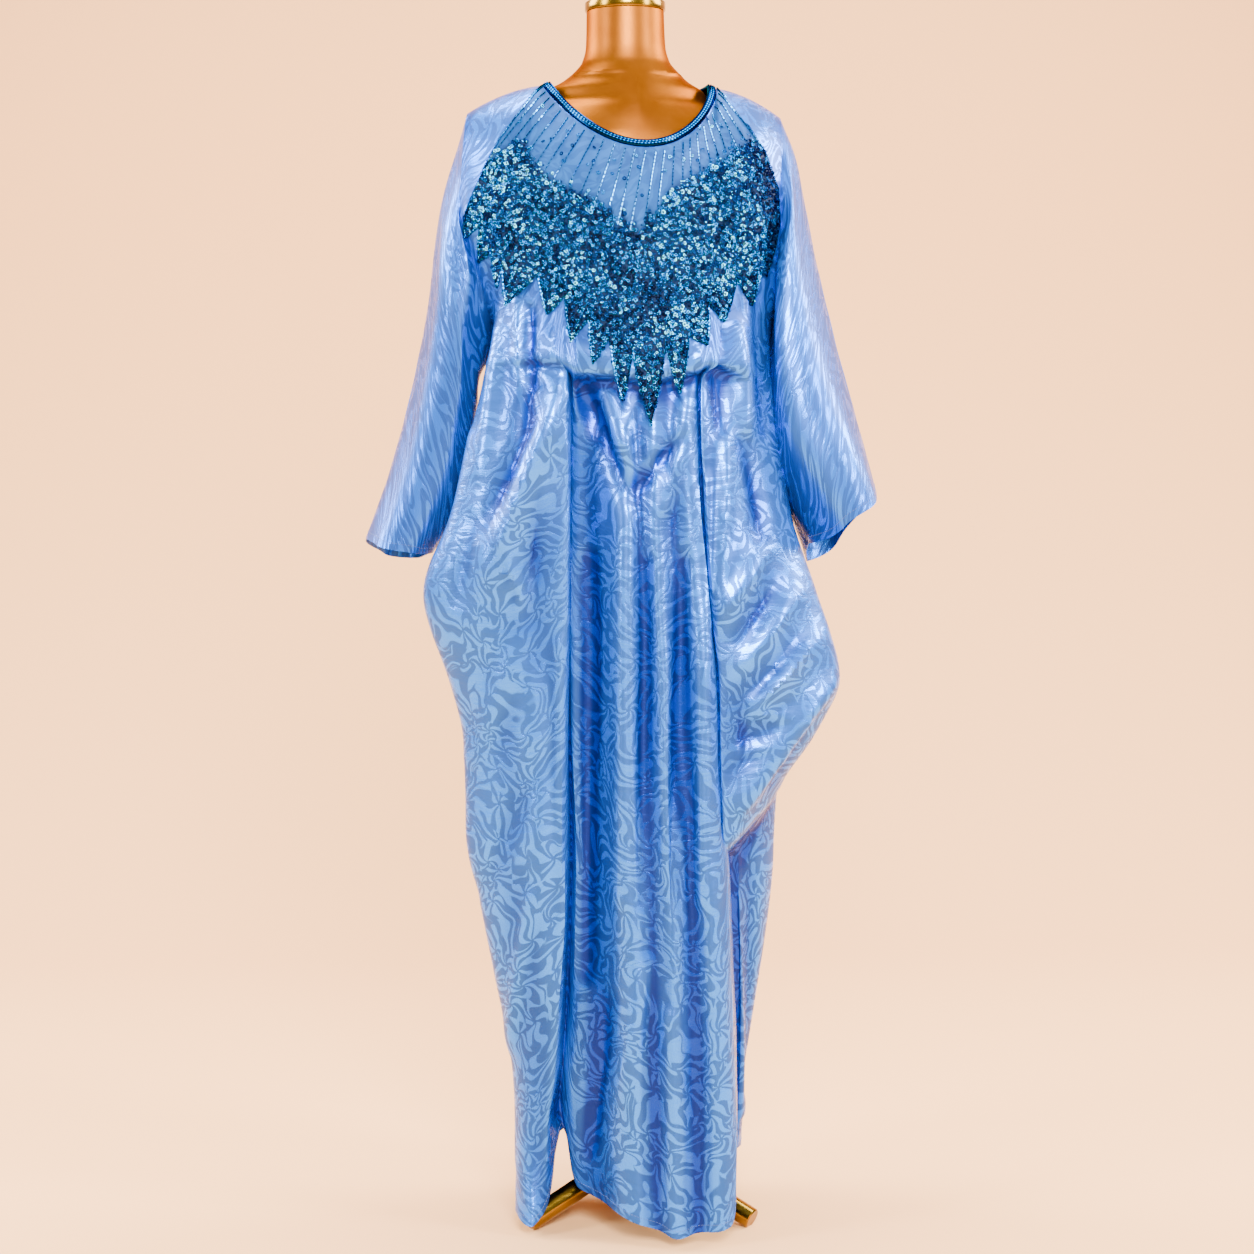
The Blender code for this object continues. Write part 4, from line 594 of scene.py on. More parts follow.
def front_rails(left, centre, right):
    """The points of one section of the front, rail by rail from the left seam to the right."""
    lift = lift_of(left.section)
    z = left.z
    gap_l, gap_r = centre.left_x - left.fold_x, right.fold_x - centre.right_x
    pit_l = min(left.pit_y, centre.left_y + PLEAT_DEPTH)
    pit_r = min(right.pit_y, centre.right_y + PLEAT_DEPTH)
    tail = LEFT_TAIL.get(left.section, 0.0)
    rails = [
        (left.seam_x, left.seam_y, z + lift.left),
        (left.edge_x, left.edge_y, z + lift.left + TAIL_SIDE * tail),
        (mix(left.edge_x, left.fold_x, 0.5), mix(left.edge_y, left.fold_y, 0.5) - left.swell,
         z + lift.left),
        (left.fold_x, left.fold_y, z + lift.left + tail),
        (left.fold_x + 0.25 * gap_l, mix(left.fold_y, pit_l, 0.5),
         z + mix(lift.left + tail, lift.pit_l, 0.6)),
        (left.fold_x + 0.50 * gap_l, pit_l, z + lift.pit_l),
        (left.fold_x + 0.75 * gap_l, mix(pit_l, centre.left_y, 0.5),
         z + mix(lift.pit_l, lift.centre_l, 0.4)),
        (centre.left_x, centre.left_y, z + lift.centre_l),
    ]
    for rib in RIBS:
        t = rib.across
        low = mix(lift.centre_l, lift.low, min(t / LOWEST_ACROSS, 1.0))
        if t > LOWEST_ACROSS:
            low = mix(lift.low, lift.centre_r, (t - LOWEST_ACROSS) / (1 - LOWEST_ACROSS))
        rails.append((mix(centre.left_x, centre.right_x, t),
                      mix(centre.left_y, centre.right_y, t) - centre.swell * 4 * t * (1 - t)
                      - max(rib.height, RIB_MORE * rib.height) * centre.wave, z + low))
    rails += [
        (centre.right_x, centre.right_y, z + lift.centre_r),
        (centre.right_x + 0.25 * gap_r, mix(centre.right_y, pit_r, 0.5),
         z + mix(lift.centre_r, lift.pit_r, 0.5)),
        (centre.right_x + 0.50 * gap_r, pit_r, z + lift.pit_r),
        (centre.right_x + 0.75 * gap_r, mix(pit_r, right.fold_y, 0.5),
         z + mix(lift.pit_r, lift.fold_r, 0.5)),
        (right.fold_x, right.fold_y, z + lift.fold_r),
        (mix(right.fold_x, right.edge_x, 0.5), mix(right.fold_y, right.edge_y, 0.5) - right.swell,
         z + mix(lift.fold_r, lift.right, 0.45)),
        (right.edge_x, right.edge_y, z + lift.right),
        (right.seam_x, right.seam_y, z + lift.right),
    ]
    return rails


def back_rails(left, right):
    """The points of one section of the back, from the left seam to the right."""
    lift = lift_of(left.section)
    edge = BACK_EDGE.get(left.section, Edge(left.seam_x, left.seam_y, right.seam_x, right.seam_y))
    rails = [(edge.left_x, edge.left_y, left.z + lift.left)]
    share = min(left.z / LEFT[-1].z, 1.0)
    for pleat in PLEATS:
        turn = math.pi * pleat.across
        round_off = math.sin(turn) ** BACK_ROUND
        across = 0.5 - 0.5 * math.cos(turn)
        base = mix(edge.left_y, edge.right_y, across)
        low = mix(lift.left, lift.right, across)
        rails.append((mix(edge.left_x, edge.right_x, across),
                      base + (right.back_y - base) * round_off + mix(pleat.hem, pleat.chest, share),
                      left.z + mix(low, lift.back, round_off)))
    return rails + [(edge.right_x, edge.right_y, left.z + lift.right)]


def crown(chest, edge, lean):
    """Rows from the chest up to the shoulders and neck. lean is 1 for the front, -1 for the back."""
    count = len(edge)
    rows = []
    for step in range(1, CROWN_STEPS + 1):
        row = []
        for column in range(count):
            start, end = chest[column], edge[column]
            length = float(np.linalg.norm(end - start))
            off_neck = min(abs(2 * column / (count - 1) - 1) / NECK_SHARE, 1.0) ** 2
            arrive = mix(AT_NECK, AT_SHOULDER, off_neck) * (1.0, lean, 1.0) * length
            leave = np.array((0.0, 0.0, (CHEST_LEAVE if lean > 0 else BACK_LEAVE) * length))
            row.append(cubic(step / CROWN_STEPS, start, leave, end, arrive))
        rows.append(row)
    return np.array(rows)


def net(sections, steps, edge, lean):
    """Rows of points of one piece of the body, from hem to shoulder and neck."""
    heights = [row.z for row in LEFT]
    rails = np.array(sections, float)
    levels = smooth(heights, rails.reshape(len(heights), -1), ROW_STEPS).reshape(-1, rails.shape[1], 3)
    rows = []
    for level in levels:
        along = np.concatenate(([0.0], np.cumsum(np.linalg.norm(np.diff(level, axis=0), axis=1) + 1e-6)))
        rows.append(smooth(along, level, steps))
    rows = np.array(rows)
    return np.concatenate((rows, crown(rows[-1], edge, lean)))


def normals(rows, ring=False):
    """Outward normals of a net, smooth across its points."""
    along = np.empty_like(rows)
    along[:, 1:-1] = rows[:, 2:] - rows[:, :-2]
    along[:, 0] = rows[:, 1] - (rows[:, -1] if ring else rows[:, 0])
    along[:, -1] = (rows[:, 0] if ring else rows[:, -1]) - rows[:, -2]
    up = np.empty_like(rows)
    up[1:-1] = rows[2:] - rows[:-2]
    up[0], up[-1] = rows[1] - rows[0], rows[-1] - rows[-2]
    out = np.cross(along, up)
    return out / np.linalg.norm(out, axis=2)[:, :, None]


def pleat_walls(width):
    """1 for each column of the front that can be creased, 0 inside the two deep pleats."""
    ends = np.cumsum((0,) + FRONT_STEPS)
    free = np.ones(width)
    for first, last in (("fold_l", "centre_l"), ("centre_r", "fold_r")):
        a, b = ends[FRONT_RAILS.index(first)], ends[FRONT_RAILS.index(last)]
        free[a:b + 1] = 0.0
    return free


def ridge(rows, line, shape):
    """How strongly each point of the net feels a crease line, from 0 to 1."""
    start = np.array((line.from_x, line.from_z))
    reach = np.array((line.to_x, line.to_z)) - start
    offset = rows[:, :, (0, 2)] - start
    along = np.clip(offset @ reach / (reach @ reach), 0.0, 1.0)
    away = np.linalg.norm(offset - along[:, :, None] * reach, axis=2) / line.width
    taper = np.sin(math.pi * mix(CREASE_SPAN[0], CREASE_SPAN[1], along)) ** CREASE_ROUND
    return taper * np.exp(-away ** shape)


def creased(rows):
    """The front with the solids' own creases raised towards the viewer."""
    free = pleat_walls(rows.shape[1])
    raised = rows.copy()
    for crease in CREASES:
        raised[:, :, 1] -= crease.height * ridge(rows, crease, 2.0) * free
    return raised


def folded(rows):
    """The front with its finer folds raised or sunk square to the cloth."""
    free = pleat_walls(rows.shape[1])
    height = np.zeros(rows.shape[:2])
    for fold in FOLDS:
        height += FOLD_MORE * fold.height * ridge(rows, fold, fold.shape) * free
    return rows + (height * edge_fade(rows))[:, :, None] * normals(rows)


def edge_fade(rows, ring=False):
    """0 on the piece's own edges, so that seams still meet, and 1 a little way in."""
    count, width = rows.shape[:2]
    row, column = np.arange(count), np.arange(width)
    if ring:
        return np.minimum(1.0, row / EDGE_ROWS)[:, None] * np.ones(width)
    up = np.minimum(1.0, (count - 1 - row) / EDGE_ROWS)
    across = np.minimum(1.0, np.minimum(column, width - 1 - column) / EDGE_ROWS)
    return up[:, None] * across[None, :]


def softened(rows, ring=False):
    """The net with its corners eased, apart from its edges."""
    eased = rows.copy()
    inside = slice(None) if ring else slice(1, -1)
    for _ in range(SOFT_PASSES):
        eased[:-1, 1:-1] += SOFTEN * ((eased[:-1, 2:] + eased[:-1, :-2]) / 2 - eased[:-1, 1:-1])
        eased[1:-1, inside] += SOFTEN * ((eased[2:, inside] + eased[:-2, inside]) / 2 - eased[1:-1, inside])
    return eased


def cloth_uv(rows, middle=0, shift=(0.0, 0.0)):
    """Metres across the cloth from its middle column and up it from its lowest row."""
    across = np.linalg.norm(np.diff(rows, axis=1), axis=2)
    u = np.concatenate((np.zeros((len(rows), 1)), np.cumsum(across, axis=1)), axis=1)
    u -= u[:, middle:middle + 1]
    up = np.linalg.norm(np.diff(rows, axis=0), axis=2)
    v = np.concatenate((np.zeros((1, rows.shape[1])), np.cumsum(up, axis=0)))
    return np.stack((u + shift[0], v + shift[1]), axis=2)


def fold_light_shares(rows, outward, ring=False):
    """0 deep in a valley of the cloth, 0.5 where it is flat and 1 on a high ridge: the mask of the satin's
    painted shade and painted highlight.
    """
    level = rows.copy()
    for _ in range(FOLD_REACH):
        level[:, 1:-1] = (level[:, 2:] + 2 * level[:, 1:-1] + level[:, :-2]) / 4
        level[1:-1] = (level[2:] + 2 * level[1:-1] + level[:-2]) / 4
    height = np.sum((rows - level) * outward, axis=2) / RIDGE_FULL_HIGHLIGHT
    return np.clip(0.5 + 0.5 * height * edge_fade(rows, ring), 0.0, 1.0)


def crinkled(rows, outward, uv, strength, ring=False):
    """The net with fine crinkles, which run mostly up and down the cloth."""
    height = np.zeros(rows.shape[:2])
    for crinkle in CRINKLES:
        flat = (uv * (crinkle.across, crinkle.up)).reshape(-1, 2)
        values = [noise.noise(Vector((u, v, crinkle.seed))) for u, v in flat]
        height += crinkle.height * np.array(values).reshape(height.shape)
    return rows + (strength * height * edge_fade(rows, ring))[:, :, None] * outward


Body = namedtuple("Body", "front front_out front_uv back back_out back_uv")


@lru_cache(maxsize=None)
def body_nets():
    """The front and back of the dress: rows of points, outward directions and cloth coordinates."""
    front_count, back_count = sum(FRONT_STEPS) + 1, BACK_STEPS * (len(PLEATS) + 1) + 1
    left_shoulder, right_shoulder = sum(FRONT_STEPS[:3]), sum(FRONT_STEPS[-3:])
    neck_span = front_count - 1 - left_shoulder - right_shoulder
    front_top = ([shoulder_point(-1, i / left_shoulder) for i in range(left_shoulder)]
                 + [neck_point(180 + 180 * i / neck_span, BAND_WIDTH) for i in range(neck_span + 1)]
                 + [shoulder_point(1, i / right_shoulder) for i in range(right_shoulder - 1, -1, -1)])
    side = BACK_SHOULDER
    back_span = back_count - 1 - 2 * side
    back_top = ([shoulder_point(-1, i / side) for i in range(side)]
                + [neck_point(180 - 180 * i / back_span, BAND_WIDTH) for i in range(back_span + 1)]
                + [shoulder_point(1, i / side) for i in range(side - 1, -1, -1)])
    front = net([front_rails(*rows) for rows in zip(LEFT, CENTRE, RIGHT)], FRONT_STEPS, front_top, 1)
    back = net([back_rails(*rows) for rows in zip(LEFT, RIGHT)],
               (BACK_STEPS,) * (len(PLEATS) + 1), back_top, -1)
    front = softened(creased(front))
    back = softened(back)
    strength = sizes().crinkle
    front_uv = cloth_uv(front, middle=FRONT_MIDDLE)
    back_uv = cloth_uv(back, middle=back.shape[1] // 2, shift=BACK_PATTERN)
    front = folded(front)
    front = crinkled(front, normals(front), front_uv, strength)
    back = crinkled(back, -normals(back), back_uv, strength)
    front_out, back_out = normals(front), -normals(back)
    for edge in (0, -1):                     # both pieces share one direction at a side seam
        shared = front_out[:, edge] + back_out[:, edge]
        shared /= np.linalg.norm(shared, axis=1)[:, None]
        below = sum(ROW_STEPS[:UNDERARM]) + 1
        front_out[:below, edge] = back_out[:below, edge] = shared[:below]
    for out, shoulders in ((front_out, (left_shoulder, right_shoulder)), (back_out, (side, side))):
        for sign, columns in ((-1, range(shoulders[0] + 1)),
                              (1, range(out.shape[1] - 1 - shoulders[1], out.shape[1]))):
            along = shoulder_point(sign, 1.0) - shoulder_point(sign, 0.0)
            level = np.cross(along, (0.0, 1.0, 0.0)) * (1 if sign < 0 else -1)
            level *= np.sign(level[2])
            for column in columns:
                out[-1, column] = level / np.linalg.norm(level)
    for out, edge, turn, span in ((front_out, left_shoulder, 180, neck_span),
                                  (back_out, side, -180, back_span)):
        for i in range(1, span):
            out[-1, edge + i] = neck_outward(180 + turn * i / span)
    part = SEAM_GAP / 2
    front[-1, :left_shoulder + 1, 1] -= part
    front[-1, front_count - 1 - right_shoulder:, 1] -= part
    back[-1, :side + 1, 1] += part
    back[-1, back_count - 1 - side:, 1] += part
    front[:, (0, -1), 1] -= part
    back[:, (0, -1), 1] += part
    return Body(front, front_out, front_uv, back, back_out, back_uv)


def sleeve_net(body, edge, cuffs, side):
    """A sleeve from its armhole ring to its cuff. side is -1 for the left, 1 for the right."""
    front, front_out, back, back_out = body.front, body.front_out, body.back, body.back_out
    base = sum(ROW_STEPS[:UNDERARM])
    down = slice(None, base - 1 if base else None, -1)
    ring = np.concatenate((front[down, edge], back[base + 1:-1, edge]))
    facing = np.concatenate((front_out[down, edge], back_out[base + 1:-1, edge]))
    middle = (len(front) - 1) - base
    ring[0] = (front[-1, edge] + back[-1, edge]) / 2
    ring[middle] = (front[base, edge] + back[base, edge]) / 2
    count = len(ring)
    rings = [ring]
    for cuff in cuffs:
        yaw = -side * math.radians(cuff.yaw)
        depth = (cuff.back_y - cuff.front_y) / 2
        half = abs(cuff.out_x - cuff.in_x) / 2          # as seen from the front, once turned
        least = (SLEEVE_LEAST * half) ** 2
        narrow = math.sqrt(max(half ** 2 - (depth * math.sin(yaw)) ** 2, least)) / math.cos(yaw) / half
        centre = np.array(((cuff.out_x + cuff.in_x) / 2, (cuff.front_y + cuff.back_y) / 2,
                           (cuff.out_z + cuff.in_z) / 2))
        reach = np.array((narrow * (cuff.out_x - cuff.in_x) / 2, 0.0, (cuff.out_z - cuff.in_z) / 2))
        points = []
        for i in range(count):
            turn = 2 * math.pi * i / count
            ahead = math.sin(turn)
            to = ((cuff.front_y - centre[1], cuff.front_z - centre[2]) if ahead > 0
                  else (cuff.back_y - centre[1], cuff.back_z - centre[2]))
            fold = SLEEVE_FOLD * math.cos(SLEEVE_FOLDS * turn + 1.0) * abs(ahead)
            point = reach * math.cos(turn) + np.array((0.0, to[0] * abs(ahead), to[1] * abs(ahead)))
            point[0] += side * fold
            points.append(centre + np.array((point[0] * math.cos(yaw) - point[1] * math.sin(yaw),
                                             point[0] * math.sin(yaw) + point[1] * math.cos(yaw), point[2])))
        rings.append(np.array(points))
    rings = np.array(rings)
    rows = smooth(range(len(rings)), rings.reshape(len(rings), -1), SLEEVE_STEPS).reshape(-1, count, 3)
    outward = normals(rows, ring=True) * -side
    centres = rows.mean(axis=1)[:, None, :]
    if np.sum(outward * (rows - centres)) < 0:
        outward = -outward
    outward[0] = facing
    away = rows[1] - rows[0]
    rows[0] = rows[0] + SEAM_GAP * away / np.linalg.norm(away, axis=1)[:, None]
    return rows, outward


def in_place(points):
    """Points of the tables' own frame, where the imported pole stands."""
    return np.asarray(points, float) + POLE_PLACE


def add_mesh(name, points, faces, material, uv=None):
    """A mesh piece at the origin. uv holds two numbers for each point."""
    mesh = bpy.data.meshes.new(name)
    mesh.from_pydata(in_place(points).tolist(), [], [tuple(int(i) for i in face) for face in faces])
    if uv is not None:
        layer = mesh.uv_layers.new(name="cloth")
        corners = np.empty(len(mesh.loops), dtype=np.int32)
        mesh.loops.foreach_get("vertex_index", corners)
        layer.data.foreach_set("uv", np.asarray(uv, np.float32)[corners].ravel())
    mesh.materials.append(material)
    mesh.polygons.foreach_set("use_smooth", np.ones(len(mesh.polygons), dtype=bool))
    mesh.set_sharp_from_angle(angle=EDGE_ANGLE)
    return placed(name, mesh)


def placed(name, data):
    """A new object of the scene, at the origin."""
    obj = bpy.data.objects.new(name, data)
    bpy.context.scene.collection.objects.link(obj)
    return obj


def settle(obj, slot, *nodes):
    """The piece rides on the dress's one body and stands for its solids, which it hides; slot is not used."""
    if nodes:
        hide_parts(*nodes)
    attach(obj, BODY)
    return obj


def quads(count, width, ring):
    """Four corners for each face of a net, turned outwards for rows that run up the cloth."""
    spans = width if ring else width - 1
    row, column = np.meshgrid(np.arange(count - 1), np.arange(spans), indexing="ij")
    a = (row * width + column).ravel()
    b = (row * width + (column + 1) % width).ravel()
    return np.stack((a, b, b + width, a + width), axis=1)


def shell(name, rows, outward, uv, material, thickness=CLOTH, ring=False):
    """A closed piece of cloth: the net, a second skin behind it and the edges between."""
    count, width = rows.shape[:2]
    points = np.concatenate((rows.reshape(-1, 3), (rows - thickness * outward).reshape(-1, 3)))
    far = count * width
    front = quads(count, width, ring)
    faces = [front, (front + far)[:, ::-1]]
    spans = width if ring else width - 1
    column = np.arange(spans)
    after = (column + 1) % width
    for row, turn in ((0, 1), (count - 1, -1)):
        a, b = row * width + column, row * width + after
        faces.append(np.stack((a, a + far, b + far, b), axis=1)[:, ::turn])
    if not ring:
        row = np.arange(count - 1) * width
        for edge, turn in ((0, -1), (width - 1, 1)):
            a, b = row + edge, row + edge + width
            faces.append(np.stack((a, a + far, b + far, b), axis=1)[:, ::turn])
    faces = np.concatenate(faces)
    if np.sum(normals(rows, ring) * outward) < 0:
        faces = faces[:, ::-1]
    both = np.concatenate((uv.reshape(-1, 2), uv.reshape(-1, 2)))
    obj = add_mesh(name, points, faces, material, both)
    # The fold attribute drives the satin's painted shade in valleys and painted highlight on ridges
    set_shares(obj, "fold", fold_light_shares(rows, outward, ring))
    return obj


def set_shares(obj, name, shares):
    """A number from 0 to 1 for each point of both skins of a piece, for its material."""
    both = np.concatenate((shares.ravel(), shares.ravel())).astype(np.float32)
    obj.data.attributes.new(name, "FLOAT", "POINT").data.foreach_set("value", both)


def lathe(name, rings, material):
    """A closed piece from rings of points, capped at both ends."""
    rings = np.asarray(rings, float)
    count, width = rings.shape[:2]
    points = np.concatenate((rings.reshape(-1, 3), [rings[0].mean(axis=0)], [rings[-1].mean(axis=0)]))
    faces = [tuple(face) for face in quads(count, width, True)]
    last = (count - 1) * width
    for column in range(width):
        after = (column + 1) % width
        faces.append((count * width, after, column))
        faces.append((count * width + 1, last + column, last + after))
    return add_mesh(name, points, faces, material)


def tree_of(rows):
    """A search tree of a net, in the tables' own frame."""
    count, width = rows.shape[:2]
    return BVHTree.FromPolygons(rows.reshape(-1, 3).tolist(), quads(count, width, False).tolist())


def hanging_point(trees, x, z, lowest):
    """Where a line from the front meets the dress, or where it would hang from a fold above."""
    hits = [tree.ray_cast(Vector((x, -1.0, z)), Vector((0.0, 1.0, 0.0)))[0] for tree in trees]
    depths = [hit.y for hit in hits if hit is not None]
    if not depths:
        depths = [trees[0].find_nearest(Vector((x, lowest, z)))[0].y]
    at_side = np.clip((abs(x) - BIB_SIDE[0]) / (BIB_SIDE[1] - BIB_SIDE[0]), 0.0, 1.0)
    return min(min(depths), lowest + BIB_GIVE * at_side)


def leaf(start, end, side):
    """One side of a spike, from its notch to its tip or back, rounded outwards like a leaf."""
    across = np.array((end[1] - start[1], start[0] - end[0])) * side
    return [mix(start, end, i / LEAF_STEPS) + LEAF_BULGE * math.sin(math.pi * i / LEAF_STEPS) * across
            for i in range(LEAF_STEPS)]


def bib_outline():
    """The bib's outer edge seen from the front, and where each point's spike grows from."""
    left = [np.array(point) for point in reversed(BIB_LEFT)]
    right = [np.array(point) for point in BIB_RIGHT]
    edge, root = [], []
    for first, last in zip(left[:-1], left[1:]):
        edge += [mix(first, last, i / LEAF_STEPS) for i in range(LEAF_STEPS)]
    root += edge
    before = left[-1]
    for spike, after in zip(SPIKES, [None] * (len(SPIKES) - 1) + [right[0]]):
        tip = np.array((spike.tip_x, spike.tip_z))
        notch = np.array((spike.notch_x, spike.notch_z)) if after is None else after
        edge += leaf(before, tip, 1) + leaf(tip, notch, 1)
        root += [mix(before, notch, i / (2 * LEAF_STEPS)) for i in range(2 * LEAF_STEPS)]
        before = notch
    for first, last in zip(right[:-1], right[1:]):
        step = [mix(first, last, i / LEAF_STEPS) for i in range(LEAF_STEPS)]
        edge += step
        root += step
    return np.array(edge + [right[-1]]), np.array(root + [right[-1]])


def covered(x, z):
    """1 where sequins cover the bib, 0 on the open net above them."""
    top = np.interp(x, [place[0] for place in SEQUIN_TOP], [place[1] for place in SEQUIN_TOP])
    share = np.clip((top - z) / SEQUIN_FADE + 0.5, 0.0, 1.0)
    return share * share * (3 - 2 * share)


Bib = namedtuple("Bib", "rows outward uv cover")


@lru_cache(maxsize=None)
def bib_net():
    """The net under the beads: rows from its spikes up to the neck binding, lying on the satin."""
    body = body_nets()
    sleeves = [sleeve(body, *cut)[0] for _, *cut in SLEEVES]
    trees = [tree_of(rows) for rows in (body.front, *sleeves)]
    outline, root = bib_outline()
    count = len(outline)
    start = [neck_point(mix(BIB_ARC[0], BIB_ARC[1], i / (count - 1)), BAND_WIDTH + BIB_INSET)
             for i in range(count)]
    near = np.array([(point[0], point[2]) for point in start])
    core = mix(near, root, SPIKE_START)
    rows = []
    lowest = [point[1] for point in start]
    places = [(near, core, step / BIB_ROWS) for step in range(BIB_ROWS + 1)]
    places += [(core, outline, step / SPIKE_ROWS) for step in range(1, SPIKE_ROWS + 1)]
    for inner, outer, t in places:
        row = []
        for i, (x, z) in enumerate(mix(inner, outer, t)):
            lowest[i] = hanging_point(trees, x, z, lowest[i])
            row.append((x, lowest[i], z))
        rows.append(row)
    rows = np.array(rows)[::-1]
    rest = rows.copy()
    for _ in range(BIB_SOFT):
        rows[1:-1, 1:-1, 1] += 0.5 * ((rows[2:, 1:-1, 1] + rows[:-2, 1:-1, 1] + rows[1:-1, 2:, 1]
                                       + rows[1:-1, :-2, 1]) / 4 - rows[1:-1, 1:-1, 1])
    rows[:, :, 1] = np.minimum(rows[:, :, 1], rest[:, :, 1]) - BIB_CLEAR
    outward = normals(rows)
    if outward[:, :, 1].mean() > 0:
        outward = -outward
    uv = np.stack((rows[:, :, 0], rows[:, :, 2]), axis=2)
    return Bib(rows + outward * NET_THICKNESS, outward, uv, covered(rows[:, :, 0], rows[:, :, 2]))


def sleeve(body, edge, cuffs, side):
    """A sleeve's rows from armhole to cuff, its outward directions and cloth coordinates."""
    rows, outward = sleeve_net(body, edge, cuffs, side)
    rows = softened(rows, ring=True)
    uv = cloth_uv(rows, shift=SLEEVE_PATTERN) * SLEEVE_WEAVE
    rows = crinkled(rows, outward, uv, SLEEVE_CRINKLE * sizes().crinkle, ring=True)
    inner = normals(rows, ring=True)
    inner *= np.sign(np.sum(inner * outward))
    outward[1:] = inner[1:]
    return rows, outward, uv


def stitch_line(rows, outward):
    """A line across the cloth, a hem's depth up from its first row and just proud of it."""
    first = np.linalg.norm(rows[1] - rows[0], axis=1)
    second = np.linalg.norm(rows[2] - rows[1], axis=1)
    share = np.clip((HEM_DEPTH - first) / second, 0.0, 1.0)[:, None]
    return mix(rows[1], rows[2], share) + STITCH_RADIUS * STITCH_PROUD * mix(outward[1], outward[2], share)


def bib_sheet(shift):
    """The bib's outer skin alone, with its cover, for sequins to be strewn on."""
    bib = bib_net()
    count, width = bib.rows.shape[:2]
    mesh = bpy.data.meshes.new("bib_sheet")
    mesh.from_pydata(in_place(bib.rows.reshape(-1, 3)).tolist(), [], quads(count, width, False).tolist())
    cover = np.clip(bib.cover.ravel() + shift, 0.0, 1.0).astype(np.float32)
    mesh.attributes.new("cover", "FLOAT", "POINT").data.foreach_set("value", cover)
    return placed("bib_sheet", mesh)


def fan_lines(count):
    """Lines that fan out over the bib from the neck band until the sequins begin."""
    bib = bib_net()
    width = bib.rows.shape[1]
    lines = []
    for i in range(count):
        column = round((i + 0.5) / count * (width - 1))
        line = []
        for row in range(len(bib.rows) - 2, -1, -1):
            if bib.cover[row, column] > LINE_COVER:
                break
            line.append(bib.rows[row, column] + LINE_LIFT * bib.outward[row, column])
        if len(line) > 2:
            lines.append(np.array(line))
    return lines


def edge_lines():
    """Beads along the bib's spikes, and a double row down each end of it from the neck."""
    bib = bib_net()
    lifted = bib.rows + LINE_LIFT * bib.outward
    lines = [mix(lifted[0], lifted[1], EDGE_INSET)]
    for column, inner in DOUBLE_ROW:
        lines.append(lifted[SPIKE_ROWS:, column])
        lines.append(mix(lifted[SPIKE_ROWS:, column], lifted[SPIKE_ROWS:, inner], 0.5))
    return lines


def band_line(share):
    """A line round the neck band, a share of its width out from the opening."""
    line = []
    for angle in neck_angles() + [neck_angles()[0] + 360]:
        inner, outer = neck_point(angle), neck_point(angle, BAND_WIDTH)
        line.append(mix(inner, outer, share) + (BAND_PROUD + BAND_BEAD_LIFT) * neck_outward(angle))
    return np.array(line)


def make_band():
    """The neck band: flat, with a cord along each edge."""
    rings = []
    for angle in neck_angles():
        inner, outer = neck_point(angle), neck_point(angle, BAND_WIDTH - 3 * SEAM_GAP)
        out = neck_outward(angle)
        ring = [mix(inner, outer, share) + (BAND_PROUD + rise) * out for share, rise in BAND_PROFILE]
        ring += [point + (BAND_PROUD - BAND_THICKNESS) * out for point in (outer, inner)]
        rings.append(ring)
    points = np.array(rings)
    count, width = points.shape[:2]
    column, row = np.arange(width) * BAND_UV[0], np.arange(count)[:, None] * BAND_UV[1]
    around = np.stack(np.broadcast_arrays(column, row), axis=2)
    faces = []
    for step in range(count):
        for corner in range(width):
            a, b = step * width + corner, step * width + (corner + 1) % width
            c, d = (a + width) % (count * width), (b + width) % (count * width)
            faces.append((a, b, d, c))
    band = add_mesh("neck_band", points.reshape(-1, 3), faces, bead_finish("band_cord", CORD, CORD_DARK),
                    around.reshape(-1, 2))
    return closed(band)


def closed(obj):
    """The piece with its faces turned outwards."""
    shape = bmesh.new()
    shape.from_mesh(obj.data)
    bmesh.ops.recalc_face_normals(shape, faces=shape.faces)
    shape.to_mesh(obj.data)
    shape.free()
    return obj


def make_form():
    places = [row.z for row in TORSO]
    values = [(row.half_x, row.front, row.back) for row in TORSO]
    heights = smooth(places, np.array(places)[:, None], (FORM_FINER,) * (len(places) - 1)).ravel()
    levels = smooth(places, values, (FORM_FINER,) * (len(places) - 1))
    rings = []
    for z, (half_x, front, back) in zip(heights, levels):
        slope = np.clip((z - SLOPE_Z[0]) / (SLOPE_Z[1] - SLOPE_Z[0]), 0.0, 1.0)
        square = 1 + (SHOULDER_SQUARE - 1) * math.sin(math.pi * slope) ** 0.5
        ring = []
        for side in range(FORM_SIDES):
            angle = 2 * math.pi * side / FORM_SIDES
            across, ahead = math.cos(angle), math.sin(angle)
            depth = front if ahead < 0 else back
            across = math.copysign(abs(across) ** square, across)
            ahead = math.copysign(abs(ahead) ** square, ahead)
            ring.append(turned((half_x * across, depth * ahead, z)))
        rings.append(ring)
    settle(closed(lathe("gold_form", rings, gold_paint("gold_paint"))), "gold_cover", "dress_form")


def turned_piece(name, node, profile, finish):
    """A closed turned piece: rings of the profile's (radius, height) places."""
    angles = 2 * math.pi * np.arange(TURN_SIDES) / TURN_SIDES
    rings = [np.stack((radius * np.cos(angles), radius * np.sin(angles),
                       np.full(TURN_SIDES, height)), axis=1) for radius, height in profile]
    settle(closed(lathe(name, rings, finish)), "brass", node)


def make_cap():
    turned_piece("brass_neck_cap", "neck_cap", CAP_PROFILE, polished_brass("brass_cap", TURNED_MARKS))


